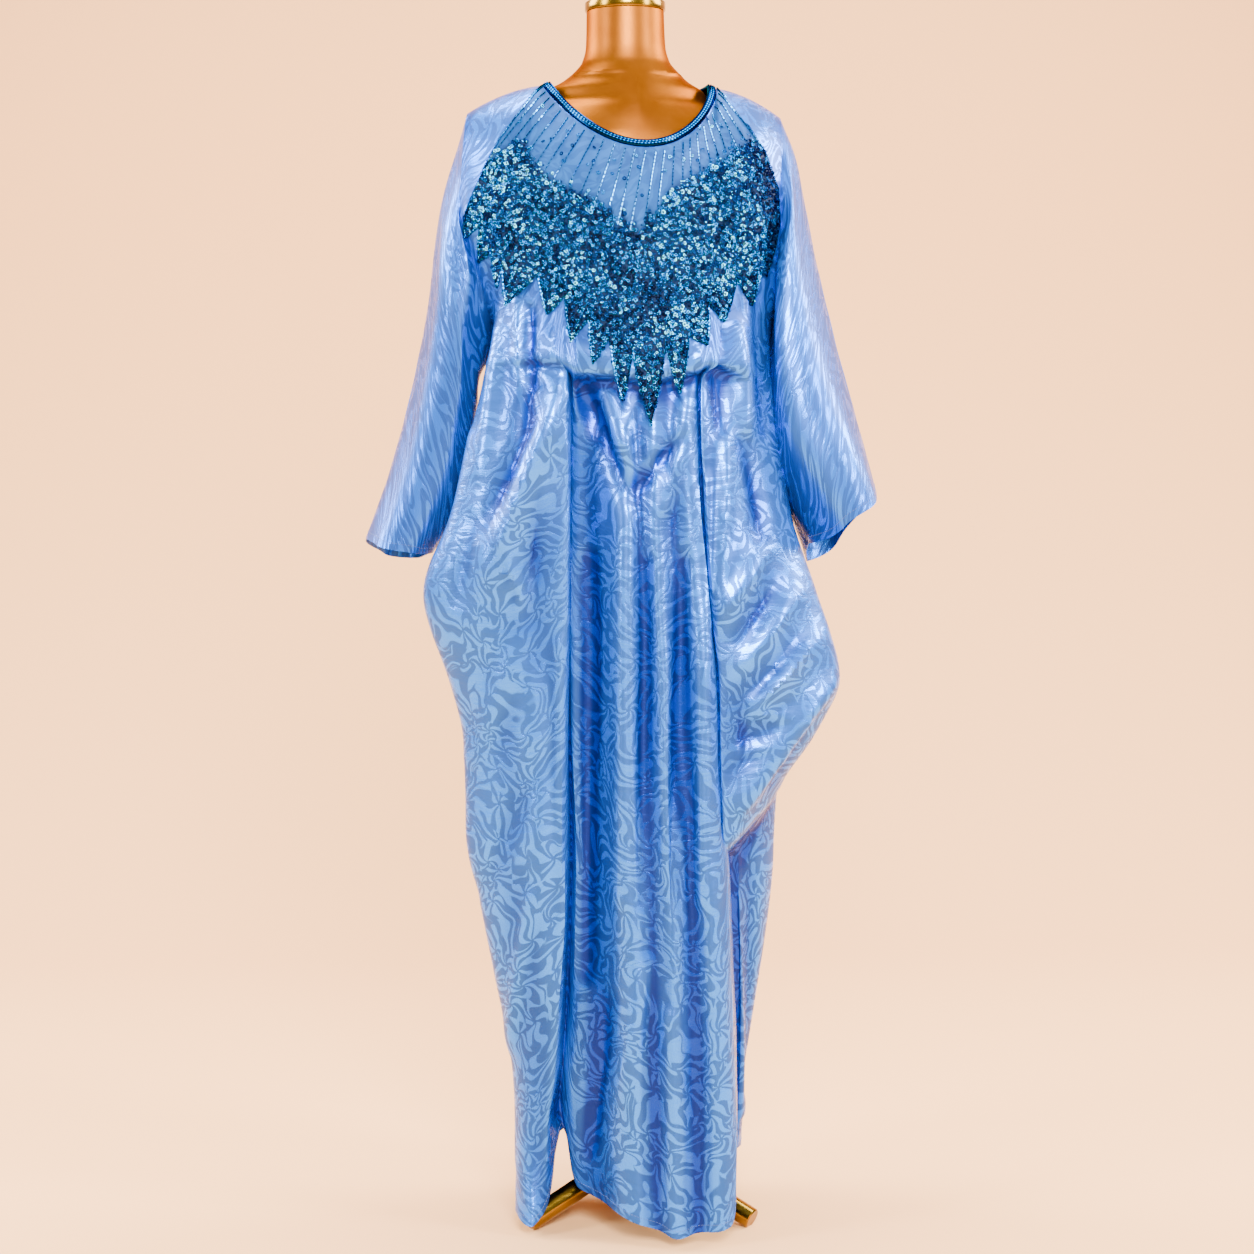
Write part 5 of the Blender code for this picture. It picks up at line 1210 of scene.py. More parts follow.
def make_stand():
    bottom, top = HUB_Z
    tube = ((POLE_RADIUS, top + SEAM_GAP), (POLE_RADIUS, FORM_BASE_Z - SEAM_GAP))
    turned_piece("brass_pole", "stand_pole", tube, polished_brass("brass_pole"))
    hub = ((HUB_RADIUS - HUB_EDGE, bottom), (HUB_RADIUS, bottom + HUB_EDGE),
           (HUB_RADIUS, top - HUB_EDGE), (HUB_RADIUS - HUB_EDGE, top))
    turned_piece("brass_hub", "stand_hub", hub, polished_brass("brass_hub", TURNED_MARKS))
    for name, bearing in LEG_BEARINGS.items():
        settle(make_leg(name, math.radians(bearing)), "brass", name)


def make_leg(name, bearing):
    """A round tube from the hub down to a foot that is cut flat on the floor."""
    out = np.array((math.cos(bearing), math.sin(bearing), 0.0))
    side = np.array((-out[1], out[0], 0.0))
    slope = math.atan2(LEG_ROOT_Z - LEG_RADIUS, FOOT_REACH - LEG_ROOT)
    foot_z = LEG_RADIUS * math.cos(slope) - FOOT_FLAT
    start = out * (HUB_RADIUS + SEAM_GAP) + (0.0, 0.0, LEG_ROOT_Z)
    end = out * FOOT_REACH + (0.0, 0.0, foot_z)
    along = (end - start) / np.linalg.norm(end - start)
    up = np.cross(side, along)
    rings = []
    for place in (start, mix(start, end, 0.5), end - FOOT_EDGE * along, end):
        radius = LEG_RADIUS - (FOOT_EDGE if place is end else 0.0)
        ring = []
        for step in range(TURN_SIDES):
            angle = 2 * math.pi * step / TURN_SIDES
            point = place + radius * (math.cos(angle) * side + math.sin(angle) * up)
            if place is start:                    # the root follows the hub's round side
                reach = math.sqrt(max((HUB_RADIUS + SEAM_GAP) ** 2 - (point @ side) ** 2, 0.0))
                point += out * (reach - point @ out)
            point[2] = max(point[2], 0.0)
            ring.append(point)
        rings.append(ring)
    return closed(lathe("brass_" + name, rings, polished_brass("brass_" + name)))


def make_backdrop():
    """A paper sweep: floor, a wide bend and a wall."""
    profile = [(-BACKDROP["front"], 0.0)]
    bend, wall = BACKDROP["bend"], BACKDROP["wall"]
    for step in range(BACKDROP_STEPS + 1):
        angle = math.pi / 2 * step / BACKDROP_STEPS
        profile.append((wall - bend + bend * math.sin(angle), bend - bend * math.cos(angle)))
    profile.append((wall, BACKDROP["height"]))
    half = BACKDROP["half_width"]
    points = [(x, y, z) for y, z in profile for x in (-half, half)]
    faces = [(2 * i, 2 * i + 1, 2 * i + 3, 2 * i + 2) for i in range(len(profile) - 1)]
    mesh = bpy.data.meshes.new("backdrop")
    mesh.from_pydata(points, [], faces)
    mesh.polygons.foreach_set("use_smooth", np.ones(len(faces), dtype=bool))
    wire = Finish("backdrop_paper", Roughness=0.9, Specular_IOR_Level=0.1)
    paper = colours().backdrop
    fibres = wire.cloud(wire.place(), GRAIN["paper"], 3.0)
    shade = wire.blend(fibres, paper, [PAPER_FIBRE * part for part in paper])
    mesh.materials.append(wire.take(Base_Color=shade))
    return placed("backdrop", mesh)


def aim(obj, place, target, roll=0.0):
    obj.location = place
    look = (Vector(target) - Vector(place)).to_track_quat("-Z", "Y").to_matrix()
    obj.rotation_euler = (look @ Matrix.Rotation(roll, 3, "Z")).to_euler()


def make_light(light):
    data = bpy.data.lights.new(light.name, "AREA")
    data.shape = "RECTANGLE"
    data.size, data.size_y = light.width, light.height
    data.energy = light.power
    data.color = (light.red, light.green, light.blue)
    aim(placed(light.name, data), (light.x, light.y, light.z), (light.at_x, 0.0, light.at_z))


def make_world():
    world = bpy.data.worlds.new("studio")
    world.use_nodes = True
    background = world.node_tree.nodes["Background"]
    background.inputs["Color"].default_value = WORLD_COLOUR
    background.inputs["Strength"].default_value = WORLD_STRENGTH
    bpy.context.scene.world = world


def make_camera():
    data = bpy.data.cameras.new("photo_view")
    data.sensor_width = SENSOR
    data.lens = CAMERA["focal_px"] / CAMERA["frame_px"] * data.sensor_width
    camera = placed("photo_view", data)
    place = Vector((POLE_PLACE[0] - CAMERA["left"], POLE_PLACE[1] - CAMERA["distance"], CAMERA["height"]))
    ahead = Vector((0.0, math.cos(CAMERA["tilt"]), -math.sin(CAMERA["tilt"])))
    aim(camera, place, place + ahead, CAMERA["roll"])
    bpy.context.scene.camera = camera


class Wiring:
    """Adds nodes to a tree in one call each. A socket takes a value or another node's output."""

    def __init__(self, tree):
        self.tree = tree

    def node(self, kind, sockets=None, **options):
        made = self.tree.nodes.new(kind)
        for option, value in options.items():
            setattr(made, option, value)
        for socket, value in (sockets or {}).items():
            self.feed(made.inputs[socket], value)
        return made

    def feed(self, socket, value):
        if isinstance(value, bpy.types.NodeSocket):
            self.tree.links.new(value, socket)
        elif socket.type == "RGBA":          # a colour comes without its alpha
            socket.default_value = (*value, 1.0)
        else:
            socket.default_value = value

    def math(self, operation, *values):
        return self.node("ShaderNodeMath", dict(enumerate(values)), operation=operation).outputs[0]

    def vector(self, operation, *values):
        made = self.node("ShaderNodeVectorMath", dict(enumerate(values)), operation=operation)
        return made.outputs["Value" if operation == "LENGTH" else "Vector"]

    def blend(self, share, first, second):
        return self.node("ShaderNodeMix", {0: share, 6: first, 7: second}, data_type="RGBA").outputs[2]

    def between(self, share, first, second):
        return self.node("ShaderNodeMix", {0: share, 2: first, 3: second}).outputs[0]

    def step(self, value, low, high):
        return self.node("ShaderNodeMapRange", {0: value, 1: low, 2: high},
                         interpolation_type="SMOOTHSTEP").outputs[0]

    def cloud(self, place, scale, detail=0.0, output=0):
        return self.node("ShaderNodeTexNoise",
                         {"Vector": place, "Scale": scale, "Detail": detail}).outputs[output]


class Finish(Wiring):
    """A Principled material and its wiring. An underscore in a socket's name stands for a space."""

    def __init__(self, name, **constants):
        self.material = bpy.data.materials.new(name)
        self.material.use_nodes = True
        super().__init__(self.material.node_tree)
        self.take(**constants)

    def take(self, **sockets):
        """Feeds the shader's sockets and gives back the material."""
        shader = self.tree.nodes["Principled BSDF"]
        for name, value in sockets.items():
            self.feed(shader.inputs[name.replace("_", " ")], value)
        return self.material

    def place(self):
        return self.node("ShaderNodeTexCoord").outputs["Object"]

    def cloth(self):
        return self.node("ShaderNodeUVMap", uv_map="cloth").outputs[0]

    def attribute(self, name):
        return self.node("ShaderNodeAttribute", attribute_name=name).outputs["Fac"]

    def bumps(self, *layers):
        """Bumps one over another, each a height, a strength and a distance."""
        normal = {}
        for height, strength, distance in layers:
            made = self.node("ShaderNodeBump", {"Height": height, "Strength": strength,
                                                "Distance": distance, **normal})
            normal = {"Normal": made.outputs[0]}
        return normal["Normal"]


def scrolls(wire, uv):
    """1 on the scrolls of the weave, 0 on their ground: curved fans that grow from scattered roots."""
    place = uv
    for wander in (SCROLL_DRIFT, SCROLL_RIPPLE):
        shift = wire.cloud(uv, wander["scale"], output="Color")
        place = wire.vector("MULTIPLY_ADD", shift, (wander["reach"], wander["reach"], 0.0), place)
    root = wire.node("ShaderNodeTexVoronoi", {"Vector": place, "Scale": SCROLL_ROOTS},
                     voronoi_dimensions="2D").outputs
    aside = wire.vector("MULTIPLY_ADD", root["Color"], (2 * SCROLL_ASIDE, 2 * SCROLL_ASIDE, 0.0),
                        (-SCROLL_ASIDE, -SCROLL_ASIDE, 0.0))
    from_root = wire.vector("ADD", wire.vector("SUBTRACT", place, root["Position"]), aside)
    parts = wire.node("ShaderNodeSeparateXYZ", {0: from_root}).outputs
    angle = wire.math("ARCTAN2", parts[1], parts[0])
    reach = wire.vector("LENGTH", from_root)
    curl = wire.math("MULTIPLY_ADD", reach, SCROLL_CURL, wire.math("MULTIPLY", angle, SCROLL_ARMS))
    fullness = wire.math("MULTIPLY", wire.cloud(place, SCROLL_FULLNESS["scale"]), SCROLL_FULLNESS["range"])
    middle = wire.between(wire.step(reach, *SCROLL_MIDDLE), 1.0, SCROLL_FULLNESS["least"])
    limit = wire.math("ADD", fullness, middle)
    return wire.step(wire.math("SUBTRACT", wire.math("SINE", curl), limit), *SCROLL_EDGE)


def satin(name):
    """Jacquard satin: marbled scrolls, shinier and lighter than the ground they lie on, with painted shade in
    the valleys of its folds and a painted highlight on their ridges.
    """
    wire = Finish(name, Metallic=0.60, Specular_IOR_Level=0.3)
    colour, uv = colours(), wire.cloth()
    motif = scrolls(wire, uv)
    ground = wire.blend(wire.cloud(uv, STAIN["satin"], 2.0), colour.ground, colour.ground_light)
    face = wire.blend(motif, ground, colour.motif)
    # Painted light: the fold attribute darkens the colour in valleys (sunk) and lightens it on ridges
    fold = wire.attribute("fold")
    sunk = wire.blend(wire.step(fold, *VALLEY_SHADE_SHARES), wire.vector("MULTIPLY", face, VALLEY_SHADE_TINT), face)
    ridge_lit = wire.blend(wire.step(fold, *RIDGE_HIGHLIGHT_SHARES), sunk, wire.vector("MULTIPLY", face, RIDGE_HIGHLIGHT_TINT))
    heights = {
        "crinkle": wire.cloud(wire.vector("MULTIPLY", uv, SATIN_CRINKLE), 1.0, 3.0),
        "brushed": wire.cloud(wire.vector("MULTIPLY", uv, SATIN_BRUSHED), 1.0, 2.0),
        "motif": motif,
        "weave": wire.node("ShaderNodeTexWave", {"Vector": uv, "Scale": 320.0, "Distortion": 0.4},
                           bands_direction="DIAGONAL").outputs[0],
    }
    normal = wire.bumps(*((heights[layer], *size) for layer, size in SATIN_BUMPS.items()))
    return wire.take(Base_Color=ridge_lit, Roughness=wire.between(motif, *ROUGH["satin"]), Normal=normal)


def bib_fabric(name):
    """Fine blue net with satin under it, darkening to the deep blue ground of the sequins."""
    wire = Finish(name, Metallic=0.4, Specular_IOR_Level=0.15)
    colour, uv = colours(), wire.cloth()
    patches = wire.cloud(uv, STAIN["net"], 3.0)
    cloudy = wire.math("MULTIPLY", wire.step(patches, 0.35, 0.65), NET_PALER["patches"])
    seen = wire.math("MULTIPLY_ADD", scrolls(wire, uv), NET_PALER["scrolls"], cloudy)
    open_net = wire.blend(seen, colour.net, colour.net_light)
    mesh = wire.node("ShaderNodeTexVoronoi", {"Vector": uv, "Scale": 900.0},
                     feature="DISTANCE_TO_EDGE").outputs[0]
    normal = wire.bumps((wire.step(mesh, 0.0, 0.25), 0.35, 0.0003), (patches, 0.2, 0.001))
    return wire.take(Base_Color=wire.blend(wire.attribute("cover"), open_net, colour.sequin_ground),
                     Roughness=wire.between(mesh, *ROUGH["net"]), Normal=normal)


def sequin_finish(name):
    """Foil sequins: navy, blue and teal with a few pale glints, by each one's own tone, darkened by painted
    shade at the bib's right end.
    """
    wire = Finish(name, Metallic=1.0, Specular_Tint=SEQUIN_EDGE)
    place = wire.place()
    drift = wire.math("SUBTRACT", wire.cloud(place, STAIN["sequin"], 1.0), 0.5)
    drift = wire.math("MULTIPLY", drift, TONE_DRIFT)
    across = wire.node("ShaderNodeSeparateXYZ", {0: place}).outputs[0]
    # Painted shade: the tone falls at the bib's right end, where it lies in the shadow beside the right
    # sleeve
    navy = wire.math("MULTIPLY", wire.step(across, *RIGHT_END_SHADE_SPAN), RIGHT_END_SHADE_DEPTH)
    tone = wire.math("SUBTRACT", wire.math("ADD", wire.attribute("tone"), drift), navy)
    ramp = wire.node("ShaderNodeValToRGB", {0: tone})
    bands = ramp.color_ramp
    bands.interpolation = "LINEAR"
    while len(bands.elements) < len(SEQUIN_TONES):
        bands.elements.new(0.5)
    for element, (position, colour) in zip(bands.elements, SEQUIN_TONES):
        element.position = position
        element.color = (*colour, 1.0)
    grain = wire.cloud(place, GRAIN["sequin"], 1.0)
    return wire.take(Base_Color=ramp.outputs[0], Roughness=wire.between(grain, *ROUGH["sequin"]))


def bead_finish(name, pale, dark=DARK_BEAD):
    """Glass beads, silver lined: pale and dark by each one's own tone."""
    wire = Finish(name, Metallic=1.0, Specular_Tint=GLASS_EDGE)
    grain = wire.cloud(wire.place(), GRAIN["bead"], 1.0)
    shade = wire.blend(wire.step(wire.attribute("tone"), 0.3, 0.7), dark, pale)
    return wire.take(Base_Color=shade, Roughness=wire.between(grain, *ROUGH["bead"]))


def gold_paint(name):
    """Satin gold paint over the padded form, with the faint mottle that spraying leaves."""
    wire = Finish(name, Metallic=1.0, Specular_Tint=GOLD_EDGE)
    colour, place = colours(), wire.place()
    cloud = wire.cloud(place, STAIN["gold"], 3.0)
    grain = wire.cloud(place, GRAIN["gold"], 2.0)
    return wire.take(Base_Color=wire.blend(wire.step(cloud, 0.3, 0.7), colour.gold_deep, colour.gold),
                     Roughness=wire.between(grain, *ROUGH["gold"]),
                     Normal=wire.bumps((grain, 0.10, 0.0004), (cloud, 0.05, 0.004)))


def polished_brass(name, stretch=DRAWN_MARKS):
    """Polished brass tube with fine turning or drawing marks and a little wear."""
    wire = Finish(name, Metallic=1.0)
    colour, place = colours(), wire.place()
    stretched = wire.node("ShaderNodeMapping", {"Vector": place, "Scale": stretch}).outputs[0]
    marks = wire.cloud(stretched, 6.0, 2.0)
    stain = wire.step(wire.cloud(place, STAIN["brass"], 3.0), 0.35, 0.70)
    return wire.take(Base_Color=wire.blend(stain, colour.brass, colour.brass_worn),
                     Roughness=wire.between(marks, *ROUGH["brass"]), Normal=wire.bumps((marks, 0.06, 0.0002)))


def thread_finish(name, colour):
    """Twisted thread, darker where the same fine noise that bumps it is high."""
    wire = Finish(name, Roughness=0.6, Sheen_Weight=0.3)
    twist = wire.cloud(wire.place(), GRAIN["thread"], 1.0)
    return wire.take(Base_Color=wire.blend(twist, colour, [0.6 * part for part in colour]),
                     Normal=wire.bumps((twist, 0.3, 0.0002)))


def geometry_tree(name, sizes_in, material):
    """A Geometry Nodes tree with named sizes. Returns it, its wiring, its input and a way to end it."""
    tree = bpy.data.node_groups.new(name, "GeometryNodeTree")
    tree.interface.new_socket("Geometry", in_out="INPUT", socket_type="NodeSocketGeometry")
    for label, value in sizes_in:
        kind = "NodeSocketInt" if isinstance(value, int) else "NodeSocketFloat"
        tree.interface.new_socket(label, in_out="INPUT", socket_type=kind).default_value = value
    tree.interface.new_socket("Geometry", in_out="OUTPUT", socket_type="NodeSocketGeometry")
    wire = Wiring(tree)
    source = wire.node("NodeGroupInput").outputs

    def end(instances, tone):
        toned = wire.node("GeometryNodeStoreNamedAttribute", {0: instances, "Name": "tone"},
                          data_type="FLOAT", domain="INSTANCE")
        wire.feed(enabled(toned.inputs, "Value"), tone)
        real = wire.node("GeometryNodeRealizeInstances", {0: toned.outputs[0]})
        finish = wire.node("GeometryNodeSetMaterial", {0: real.outputs[0], "Material": material})
        wire.node("NodeGroupOutput", {0: finish.outputs[0]})

    return tree, wire, source, end


def scatter_tree(name, material):
    """Sequins strewn over a sheet where its cover is high, each tilted its own way."""
    labels = (("Spacing", 0.004), ("Crowding", 90000.0), ("Radius", 0.0018), ("Rim", 0.0009),
              ("Flatness", 0.4), ("Tilt", 0.5), ("Lift", 0.001), ("Seed", 1))
    tree, wire, source, end = geometry_tree(name, labels, material)
    cover = wire.node("GeometryNodeInputNamedAttribute", {"Name": "cover"}, data_type="FLOAT").outputs[0]
    spots = wire.node("GeometryNodeDistributePointsOnFaces",
                      {"Mesh": source["Geometry"], "Distance Min": source["Spacing"],
                       "Density Max": source["Crowding"], "Density Factor": cover, "Seed": source["Seed"]},
                      distribute_method="POISSON").outputs
    circle, profile = (wire.node("GeometryNodeCurvePrimitiveCircle",
                                 {"Resolution": sides, "Radius": source[radius]}).outputs[0]
                       for sides, radius in ((8, "Radius"), (3, "Rim")))
    ring = wire.node("GeometryNodeCurveToMesh", {0: circle, 1: profile}).outputs[0]
    flat = wire.node("ShaderNodeCombineXYZ", {0: 1.0, 1: 1.0, 2: source["Flatness"]}).outputs[0]
    sequin = wire.node("GeometryNodeTransform", {"Geometry": ring, "Scale": flat}).outputs[0]
    lean = wire.node("FunctionNodeRandomValue",
                     {0: [-turn for turn in SEQUIN_LEAN], 1: SEQUIN_LEAN, "Seed": source["Seed"]},
                     data_type="FLOAT_VECTOR").outputs[0]
    lean = wire.node("ShaderNodeVectorMath", {0: lean, "Scale": source["Tilt"]}, operation="SCALE").outputs[0]
    lean = wire.node("FunctionNodeEulerToRotation", {0: lean}).outputs[0]
    turn = wire.node("FunctionNodeRotateRotation", {0: spots["Rotation"], 1: lean},
                     rotation_space="LOCAL").outputs[0]
    size = random_value(wire, *SEQUIN_SIZES, source["Seed"], 3)
    sewn = wire.node("GeometryNodeInstanceOnPoints", {"Points": spots[0], "Instance": sequin,
                                                      "Rotation": turn, "Scale": size}).outputs[0]
    up = wire.node("ShaderNodeCombineXYZ", {0: 0.0, 1: 0.0, 2: source["Lift"]}).outputs[0]
    raised = wire.node("GeometryNodeTranslateInstances", {"Instances": sewn, "Translation": up}).outputs[0]
    end(raised, random_value(wire, 0.0, 1.0, source["Seed"], 5))
    return tree


def random_value(wire, low, high, seed, shift):
    """A random number for each point, with its own seed beside the tree's."""
    made = wire.node("FunctionNodeRandomValue", data_type="FLOAT")
    wire.feed(enabled(made.inputs, "Min"), low)
    wire.feed(enabled(made.inputs, "Max"), high)
    wire.feed(made.inputs["Seed"], wire.math("ADD", seed, float(shift)))
    return enabled(made.outputs, "Value")


def enabled(sockets, name):
    """The socket in use, where a node has one of that name for each type of data."""
    return next(socket for socket in sockets if socket.enabled and socket.name == name)


def thread_tree(name, material):
    """Beads or stitches along every line of a piece: a long one and a short one in turn."""
    labels = (("Spacing", 0.003), ("Long Length", 0.0036), ("Long Radius", 0.0007),
              ("Short Length", 0.0012), ("Short Radius", 0.0007), ("Sides", 6), ("Seed", 1))
    tree, wire, source, end = geometry_tree(name, labels, material)
    curves = wire.node("GeometryNodeMeshToCurve", {0: source["Geometry"]}).outputs[0]
    spots = wire.node("GeometryNodeCurveToPoints", {"Curve": curves, "Length": source["Spacing"]},
                      mode="LENGTH").outputs
    shapes = []
    for size in ("Long", "Short"):
        rod = wire.node("GeometryNodeMeshCylinder",
                        {"Vertices": source["Sides"], "Radius": source[size + " Radius"],
                         "Depth": source[size + " Length"]}).outputs["Mesh"]
        shapes.append(wire.node("GeometryNodeGeometryToInstance", {0: rod}).outputs[0])
    both = wire.node("GeometryNodeJoinGeometry")
    for shape in reversed(shapes):
        tree.links.new(shape, both.inputs[0])
    number = wire.node("GeometryNodeInputIndex").outputs[0]
    turn_about = wire.math("MODULO", number, 2.0)
    strung = wire.node("GeometryNodeInstanceOnPoints",
                       {"Points": spots[0], "Instance": both.outputs[0], "Pick Instance": True,
                        "Instance Index": turn_about, "Rotation": spots["Rotation"]}).outputs[0]
    glint = wire.math("ADD", random_value(wire, 0.0, TONE_RANGE, source["Seed"], 2), LONG_PALER)
    end(strung, wire.math("SUBTRACT", glint, wire.math("MULTIPLY", turn_about, LONG_PALER)))
    return tree


def grown(name, source, tree, **values):
    """The mesh that a Geometry Nodes tree grows on a source mesh, as a piece of its own."""
    modifier = source.modifiers.new("grow", "NODES")
    modifier.node_group = tree
    for item in tree.interface.items_tree:
        label = item.name.replace(" ", "_").lower()
        if item.in_out == "INPUT" and label in values:
            modifier[item.identifier] = values.pop(label)
    if values:
        raise RuntimeError(f"{tree.name} has no input named {sorted(values)}")
    graph = bpy.context.evaluated_depsgraph_get()
    mesh = bpy.data.meshes.new_from_object(source.evaluated_get(graph), depsgraph=graph)
    if not mesh.polygons:
        raise RuntimeError(f"{name}: nothing grew")
    source.modifiers.remove(modifier)
    bpy.data.objects.remove(source, do_unlink=True)
    mesh.name = name
    return placed(name, mesh)


def lines_mesh(name, lines):
    """A source mesh with one run of edges for each line of points."""
    mesh = bpy.data.meshes.new(name)
    points, edges = [], []
    for line in lines:
        first = len(points)
        points += in_place(line).tolist()
        edges += [(i, i + 1) for i in range(first, len(points) - 1)]
    mesh.from_pydata(points, edges, [])
    return placed(name, mesh)


def threaded(name, lines, finish, spacing, long, short, sides, seed):
    """Beads or stitches along lines. long and short are each a length and a radius."""
    return grown(name, lines_mesh(name + "_lines", lines), thread_tree(name + "_run", finish),
                 spacing=spacing, long_length=long[0], long_radius=long[1],
                 short_length=short[0], short_radius=short[1], sides=sides, seed=seed)


def strewn(name, shift, finish, **values):
    """Sequins or seed beads all over the covered part of the bib."""
    tree = scatter_tree("strew_" + name, finish)
    return grown(name, bib_sheet(shift), tree, crowding=CROWDING, **values)


class KaftanSizes(bpy.types.PropertyGroup):
    """Sizes of the beading and sewing that a user may change."""

    crinkle: bpy.props.FloatProperty(
        name="Crinkle", description="How strong the satin's fine crinkles are", default=1.0, min=0.0, max=2.0)
    sequin_spacing: bpy.props.FloatProperty(
        name="Sequin Spacing", description="Least distance between two sequins", default=0.0036,
        unit="LENGTH", min=0.002, max=0.02)
    sequin_radius: bpy.props.FloatProperty(
        name="Sequin Radius", description="From a sequin's middle to the middle of its rim",
        default=0.0018, unit="LENGTH", min=0.0005, max=0.01)
    seed_spacing: bpy.props.FloatProperty(
        name="Seed Bead Spacing", description="Least distance between two seed beads in the sequins",
        default=0.0031, unit="LENGTH", min=0.002, max=0.02)
    line_spacing: bpy.props.FloatProperty(
        name="Bead Line Spacing", description="Between beads of the lines that fan out from the neck",
        default=0.0056, unit="LENGTH", min=0.001, max=0.02)
    stitch: bpy.props.FloatProperty(
        name="Stitch Length", description="One stitch of the hems with its gap", default=0.0040,
        unit="LENGTH", min=0.001, max=0.02)
    lines: bpy.props.IntProperty(
        name="Bead Lines", description="Lines of beads from the neck band to the sequins", default=27,
        min=0, max=60)


class KaftanColours(bpy.types.PropertyGroup):
    """Colours of the cloth, the beads and the stand."""

    ground: bpy.props.FloatVectorProperty(
        name="Satin Ground", description="The satin between its scrolls", subtype="COLOR",
        default=(0.005, 0.042, 0.230))
    ground_light: bpy.props.FloatVectorProperty(
        name="Satin Ground Light", description="The satin's ground where its dye is paler", subtype="COLOR",
        default=(0.007, 0.056, 0.280))
    motif: bpy.props.FloatVectorProperty(
        name="Satin Scrolls", description="The shinier scrolls of the weave", subtype="COLOR",
        default=(0.012, 0.125, 0.640))
    net: bpy.props.FloatVectorProperty(
        name="Bib Net", description="The fine net of the bib", subtype="COLOR", default=(0.003, 0.040, 0.165))
    net_light: bpy.props.FloatVectorProperty(
        name="Bib Net Light", description="The bib's net where satin shines through", subtype="COLOR",
        default=(0.006, 0.075, 0.270))
    sequin_ground: bpy.props.FloatVectorProperty(
        name="Sequin Ground", description="The net under the sequins", subtype="COLOR",
        default=(0.001, 0.008, 0.035))
    gold: bpy.props.FloatVectorProperty(
        name="Gold Paint", description="The form's paint", subtype="COLOR", default=(0.235, 0.070, 0.004))
    gold_deep: bpy.props.FloatVectorProperty(
        name="Gold Paint Deep", description="The form's paint where it is thicker", subtype="COLOR",
        default=(0.165, 0.045, 0.003))
    brass: bpy.props.FloatVectorProperty(
        name="Brass", description="The stand and the neck cap", subtype="COLOR",
        default=(0.270, 0.155, 0.014))
    brass_worn: bpy.props.FloatVectorProperty(
        name="Brass Worn", description="Brass that hands have dulled", subtype="COLOR",
        default=(0.200, 0.108, 0.009))
    backdrop: bpy.props.FloatVectorProperty(
        name="Backdrop", description="Paper of the floor and wall", subtype="COLOR",
        default=(0.800, 0.430, 0.190))


def sizes():
    return bpy.context.scene.kaftan_sizes


def colours():
    return bpy.context.scene.kaftan_colours


class KAFTAN_OT_body(bpy.types.Operator):
    """Cut and hang the front and the back"""

    bl_idname = "kaftan.body"
    bl_label = "Hang Front and Back"

    def execute(self, context):
        body = body_nets()
        front = shell("kaftan_front", body.front, body.front_out, body.front_uv, satin("satin_front"))
        back = shell("kaftan_back", body.back, body.back_out, body.back_uv, satin("satin_back"))
        settle(front, "satin", "front_panel")
        settle(back, "satin", "back_panel")
        return {"FINISHED"}


class KAFTAN_OT_sleeves(bpy.types.Operator):
    """Set in the two wide sleeves"""

    bl_idname = "kaftan.sleeves"
    bl_label = "Set In Sleeves"

    def execute(self, context):
        body = body_nets()
        for name, *cut in SLEEVES:
            rows, outward, uv = sleeve(body, *cut)
            piece = shell("kaftan_" + name, rows, outward, uv, satin("satin_" + name), ring=True)
            settle(piece, "satin", name)
        return {"FINISHED"}


class KAFTAN_OT_hems(bpy.types.Operator):
    """Stitch the hem and the cuffs"""

    bl_idname = "kaftan.hems"
    bl_label = "Stitch Hems"

    def execute(self, context):
        body = body_nets()
        lines = [stitch_line(body.front, body.front_out), stitch_line(body.back, body.back_out)]
        for _, *cut in SLEEVES:
            rows, outward, _ = sleeve(body, *cut)
            line = stitch_line(rows[::-1], outward[::-1])
            lines.append(np.concatenate((line, line[:1])))
        length = sizes().stitch
        shown, between = STITCH_SHARES
        piece = threaded("hem_stitches", lines, thread_finish("hem_thread", HEM_THREAD),
                         spacing=length / 2, long=(shown * length, STITCH_RADIUS),
                         short=(between * length, 0.2 * STITCH_RADIUS), sides=5, seed=3)
        settle(piece, "satin")
        return {"FINISHED"}


class KAFTAN_OT_bib(bpy.types.Operator):
    """Lay the blue net of the bib on the satin"""

    bl_idname = "kaftan.bib"
    bl_label = "Lay Bib"

    def execute(self, context):
        bib = bib_net()
        piece = shell("bib_net", bib.rows, bib.outward, bib.uv, bib_fabric("bib_fabric"), NET_THICKNESS)
        set_shares(piece, "cover", bib.cover)
        settle(piece, "beaded_net", "beaded_bib")
        return {"FINISHED"}


class KAFTAN_OT_sequins(bpy.types.Operator):
    """Sew sequins and seed beads all over the lower bib"""

    bl_idname = "kaftan.sequins"
    bl_label = "Sew Sequins"

    def execute(self, context):
        size = sizes()
        piece = strewn("sequins", COVER_SHIFT, sequin_finish("foil_sequins"), spacing=size.sequin_spacing,
                       radius=size.sequin_radius, rim=size.sequin_radius / 2, **SEQUINS)
        settle(piece, "beaded_net")
        piece = strewn("seed_beads", -COVER_SHIFT, sequin_finish("foil_seeds"),
                       spacing=size.seed_spacing, **SEED_BEADS)
        settle(piece, "beaded_net")
        return {"FINISHED"}


class KAFTAN_OT_beads(bpy.types.Operator):
    """Thread the bead lines of the bib and its edges"""

    bl_idname = "kaftan.beads"
    bl_label = "Thread Bead Lines"

    def execute(self, context):
        size = sizes()
        piece = threaded("bead_lines", fan_lines(size.lines), bead_finish("silver_lined_beads", PALE_BEAD),
                         spacing=size.line_spacing / 2, **FAN_BEADS)
        settle(piece, "beaded_net")
        piece = threaded("bib_edge_beads", edge_lines(), bead_finish("teal_beads", TEAL_BEAD), **EDGE_BEADS)
        settle(piece, "beaded_net")
        return {"FINISHED"}


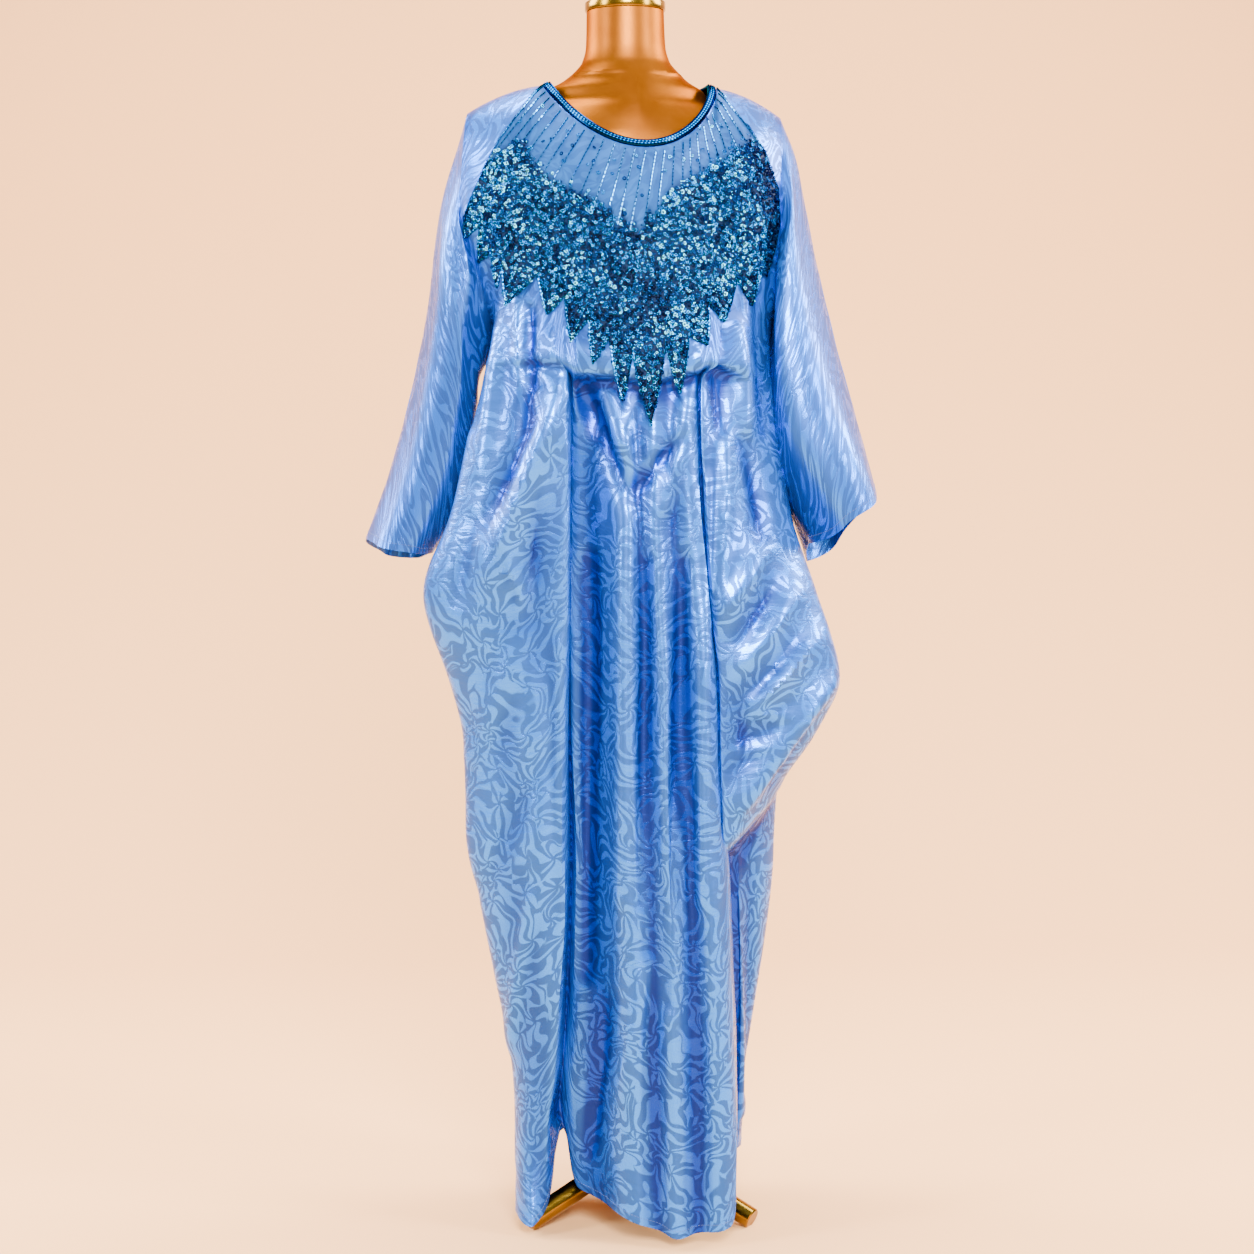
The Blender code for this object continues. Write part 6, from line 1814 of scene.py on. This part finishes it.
class KAFTAN_OT_binding(bpy.types.Operator):
    """Bind the neck with a corded band and two rows of beads"""

    bl_idname = "kaftan.binding"
    bl_label = "Bind Neck"

    def execute(self, context):
        settle(make_band(), "beaded_net", "neck_binding")
        lines = [band_line(share) for share in BAND_BEAD_ROWS]
        piece = threaded("band_beads", lines, bead_finish("band_beads", TEAL_BEAD), **BAND_BEADS)
        settle(piece, "beaded_net")
        return {"FINISHED"}


class KAFTAN_OT_form(bpy.types.Operator):
    """Turn the gold form with its neck cap, pole, hub and legs"""

    bl_idname = "kaftan.form"
    bl_label = "Stand the Form"

    def execute(self, context):
        make_form()
        make_cap()
        make_stand()
        return {"FINISHED"}


class KAFTAN_OT_stage(bpy.types.Operator):
    """Set the paper backdrop, the soft lights and the camera"""

    bl_idname = "kaftan.stage"
    bl_label = "Set Stage"

    def execute(self, context):
        make_backdrop()
        for light in LIGHTS:
            make_light(light)
        make_world()
        make_camera()
        return {"FINISHED"}


OPERATORS = (KAFTAN_OT_form, KAFTAN_OT_body, KAFTAN_OT_sleeves, KAFTAN_OT_hems, KAFTAN_OT_bib,
             KAFTAN_OT_sequins, KAFTAN_OT_beads, KAFTAN_OT_binding, KAFTAN_OT_stage)


class KAFTAN_PT_panel(bpy.types.Panel):
    """Every step of the dress, with its sizes and colours"""

    bl_idname = "KAFTAN_PT_panel"
    bl_label = "Beaded Kaftan"
    bl_space_type = "VIEW_3D"
    bl_region_type = "UI"
    bl_category = "Kaftan"

    def draw(self, context):
        for group in (sizes(), colours()):
            box = self.layout.box()
            for name in group.bl_rna.properties.keys():
                if name not in ("rna_type", "name"):
                    box.prop(group, name)
        for operator in OPERATORS:
            self.layout.operator(operator.bl_idname)


CLASSES = (KaftanSizes, KaftanColours, *OPERATORS, KAFTAN_PT_panel)


def register():
    for kind in CLASSES:
        bpy.utils.register_class(kind)
    bpy.types.Scene.kaftan_sizes = bpy.props.PointerProperty(type=KaftanSizes)
    bpy.types.Scene.kaftan_colours = bpy.props.PointerProperty(type=KaftanColours)


def unregister():
    del bpy.types.Scene.kaftan_sizes
    del bpy.types.Scene.kaftan_colours
    for kind in reversed(CLASSES):
        bpy.utils.unregister_class(kind)


def main():
    register()
    for operator in OPERATORS:
        group, name = operator.bl_idname.split(".")
        getattr(getattr(bpy.ops, group), name)()


if __name__ == "__main__":
    main()
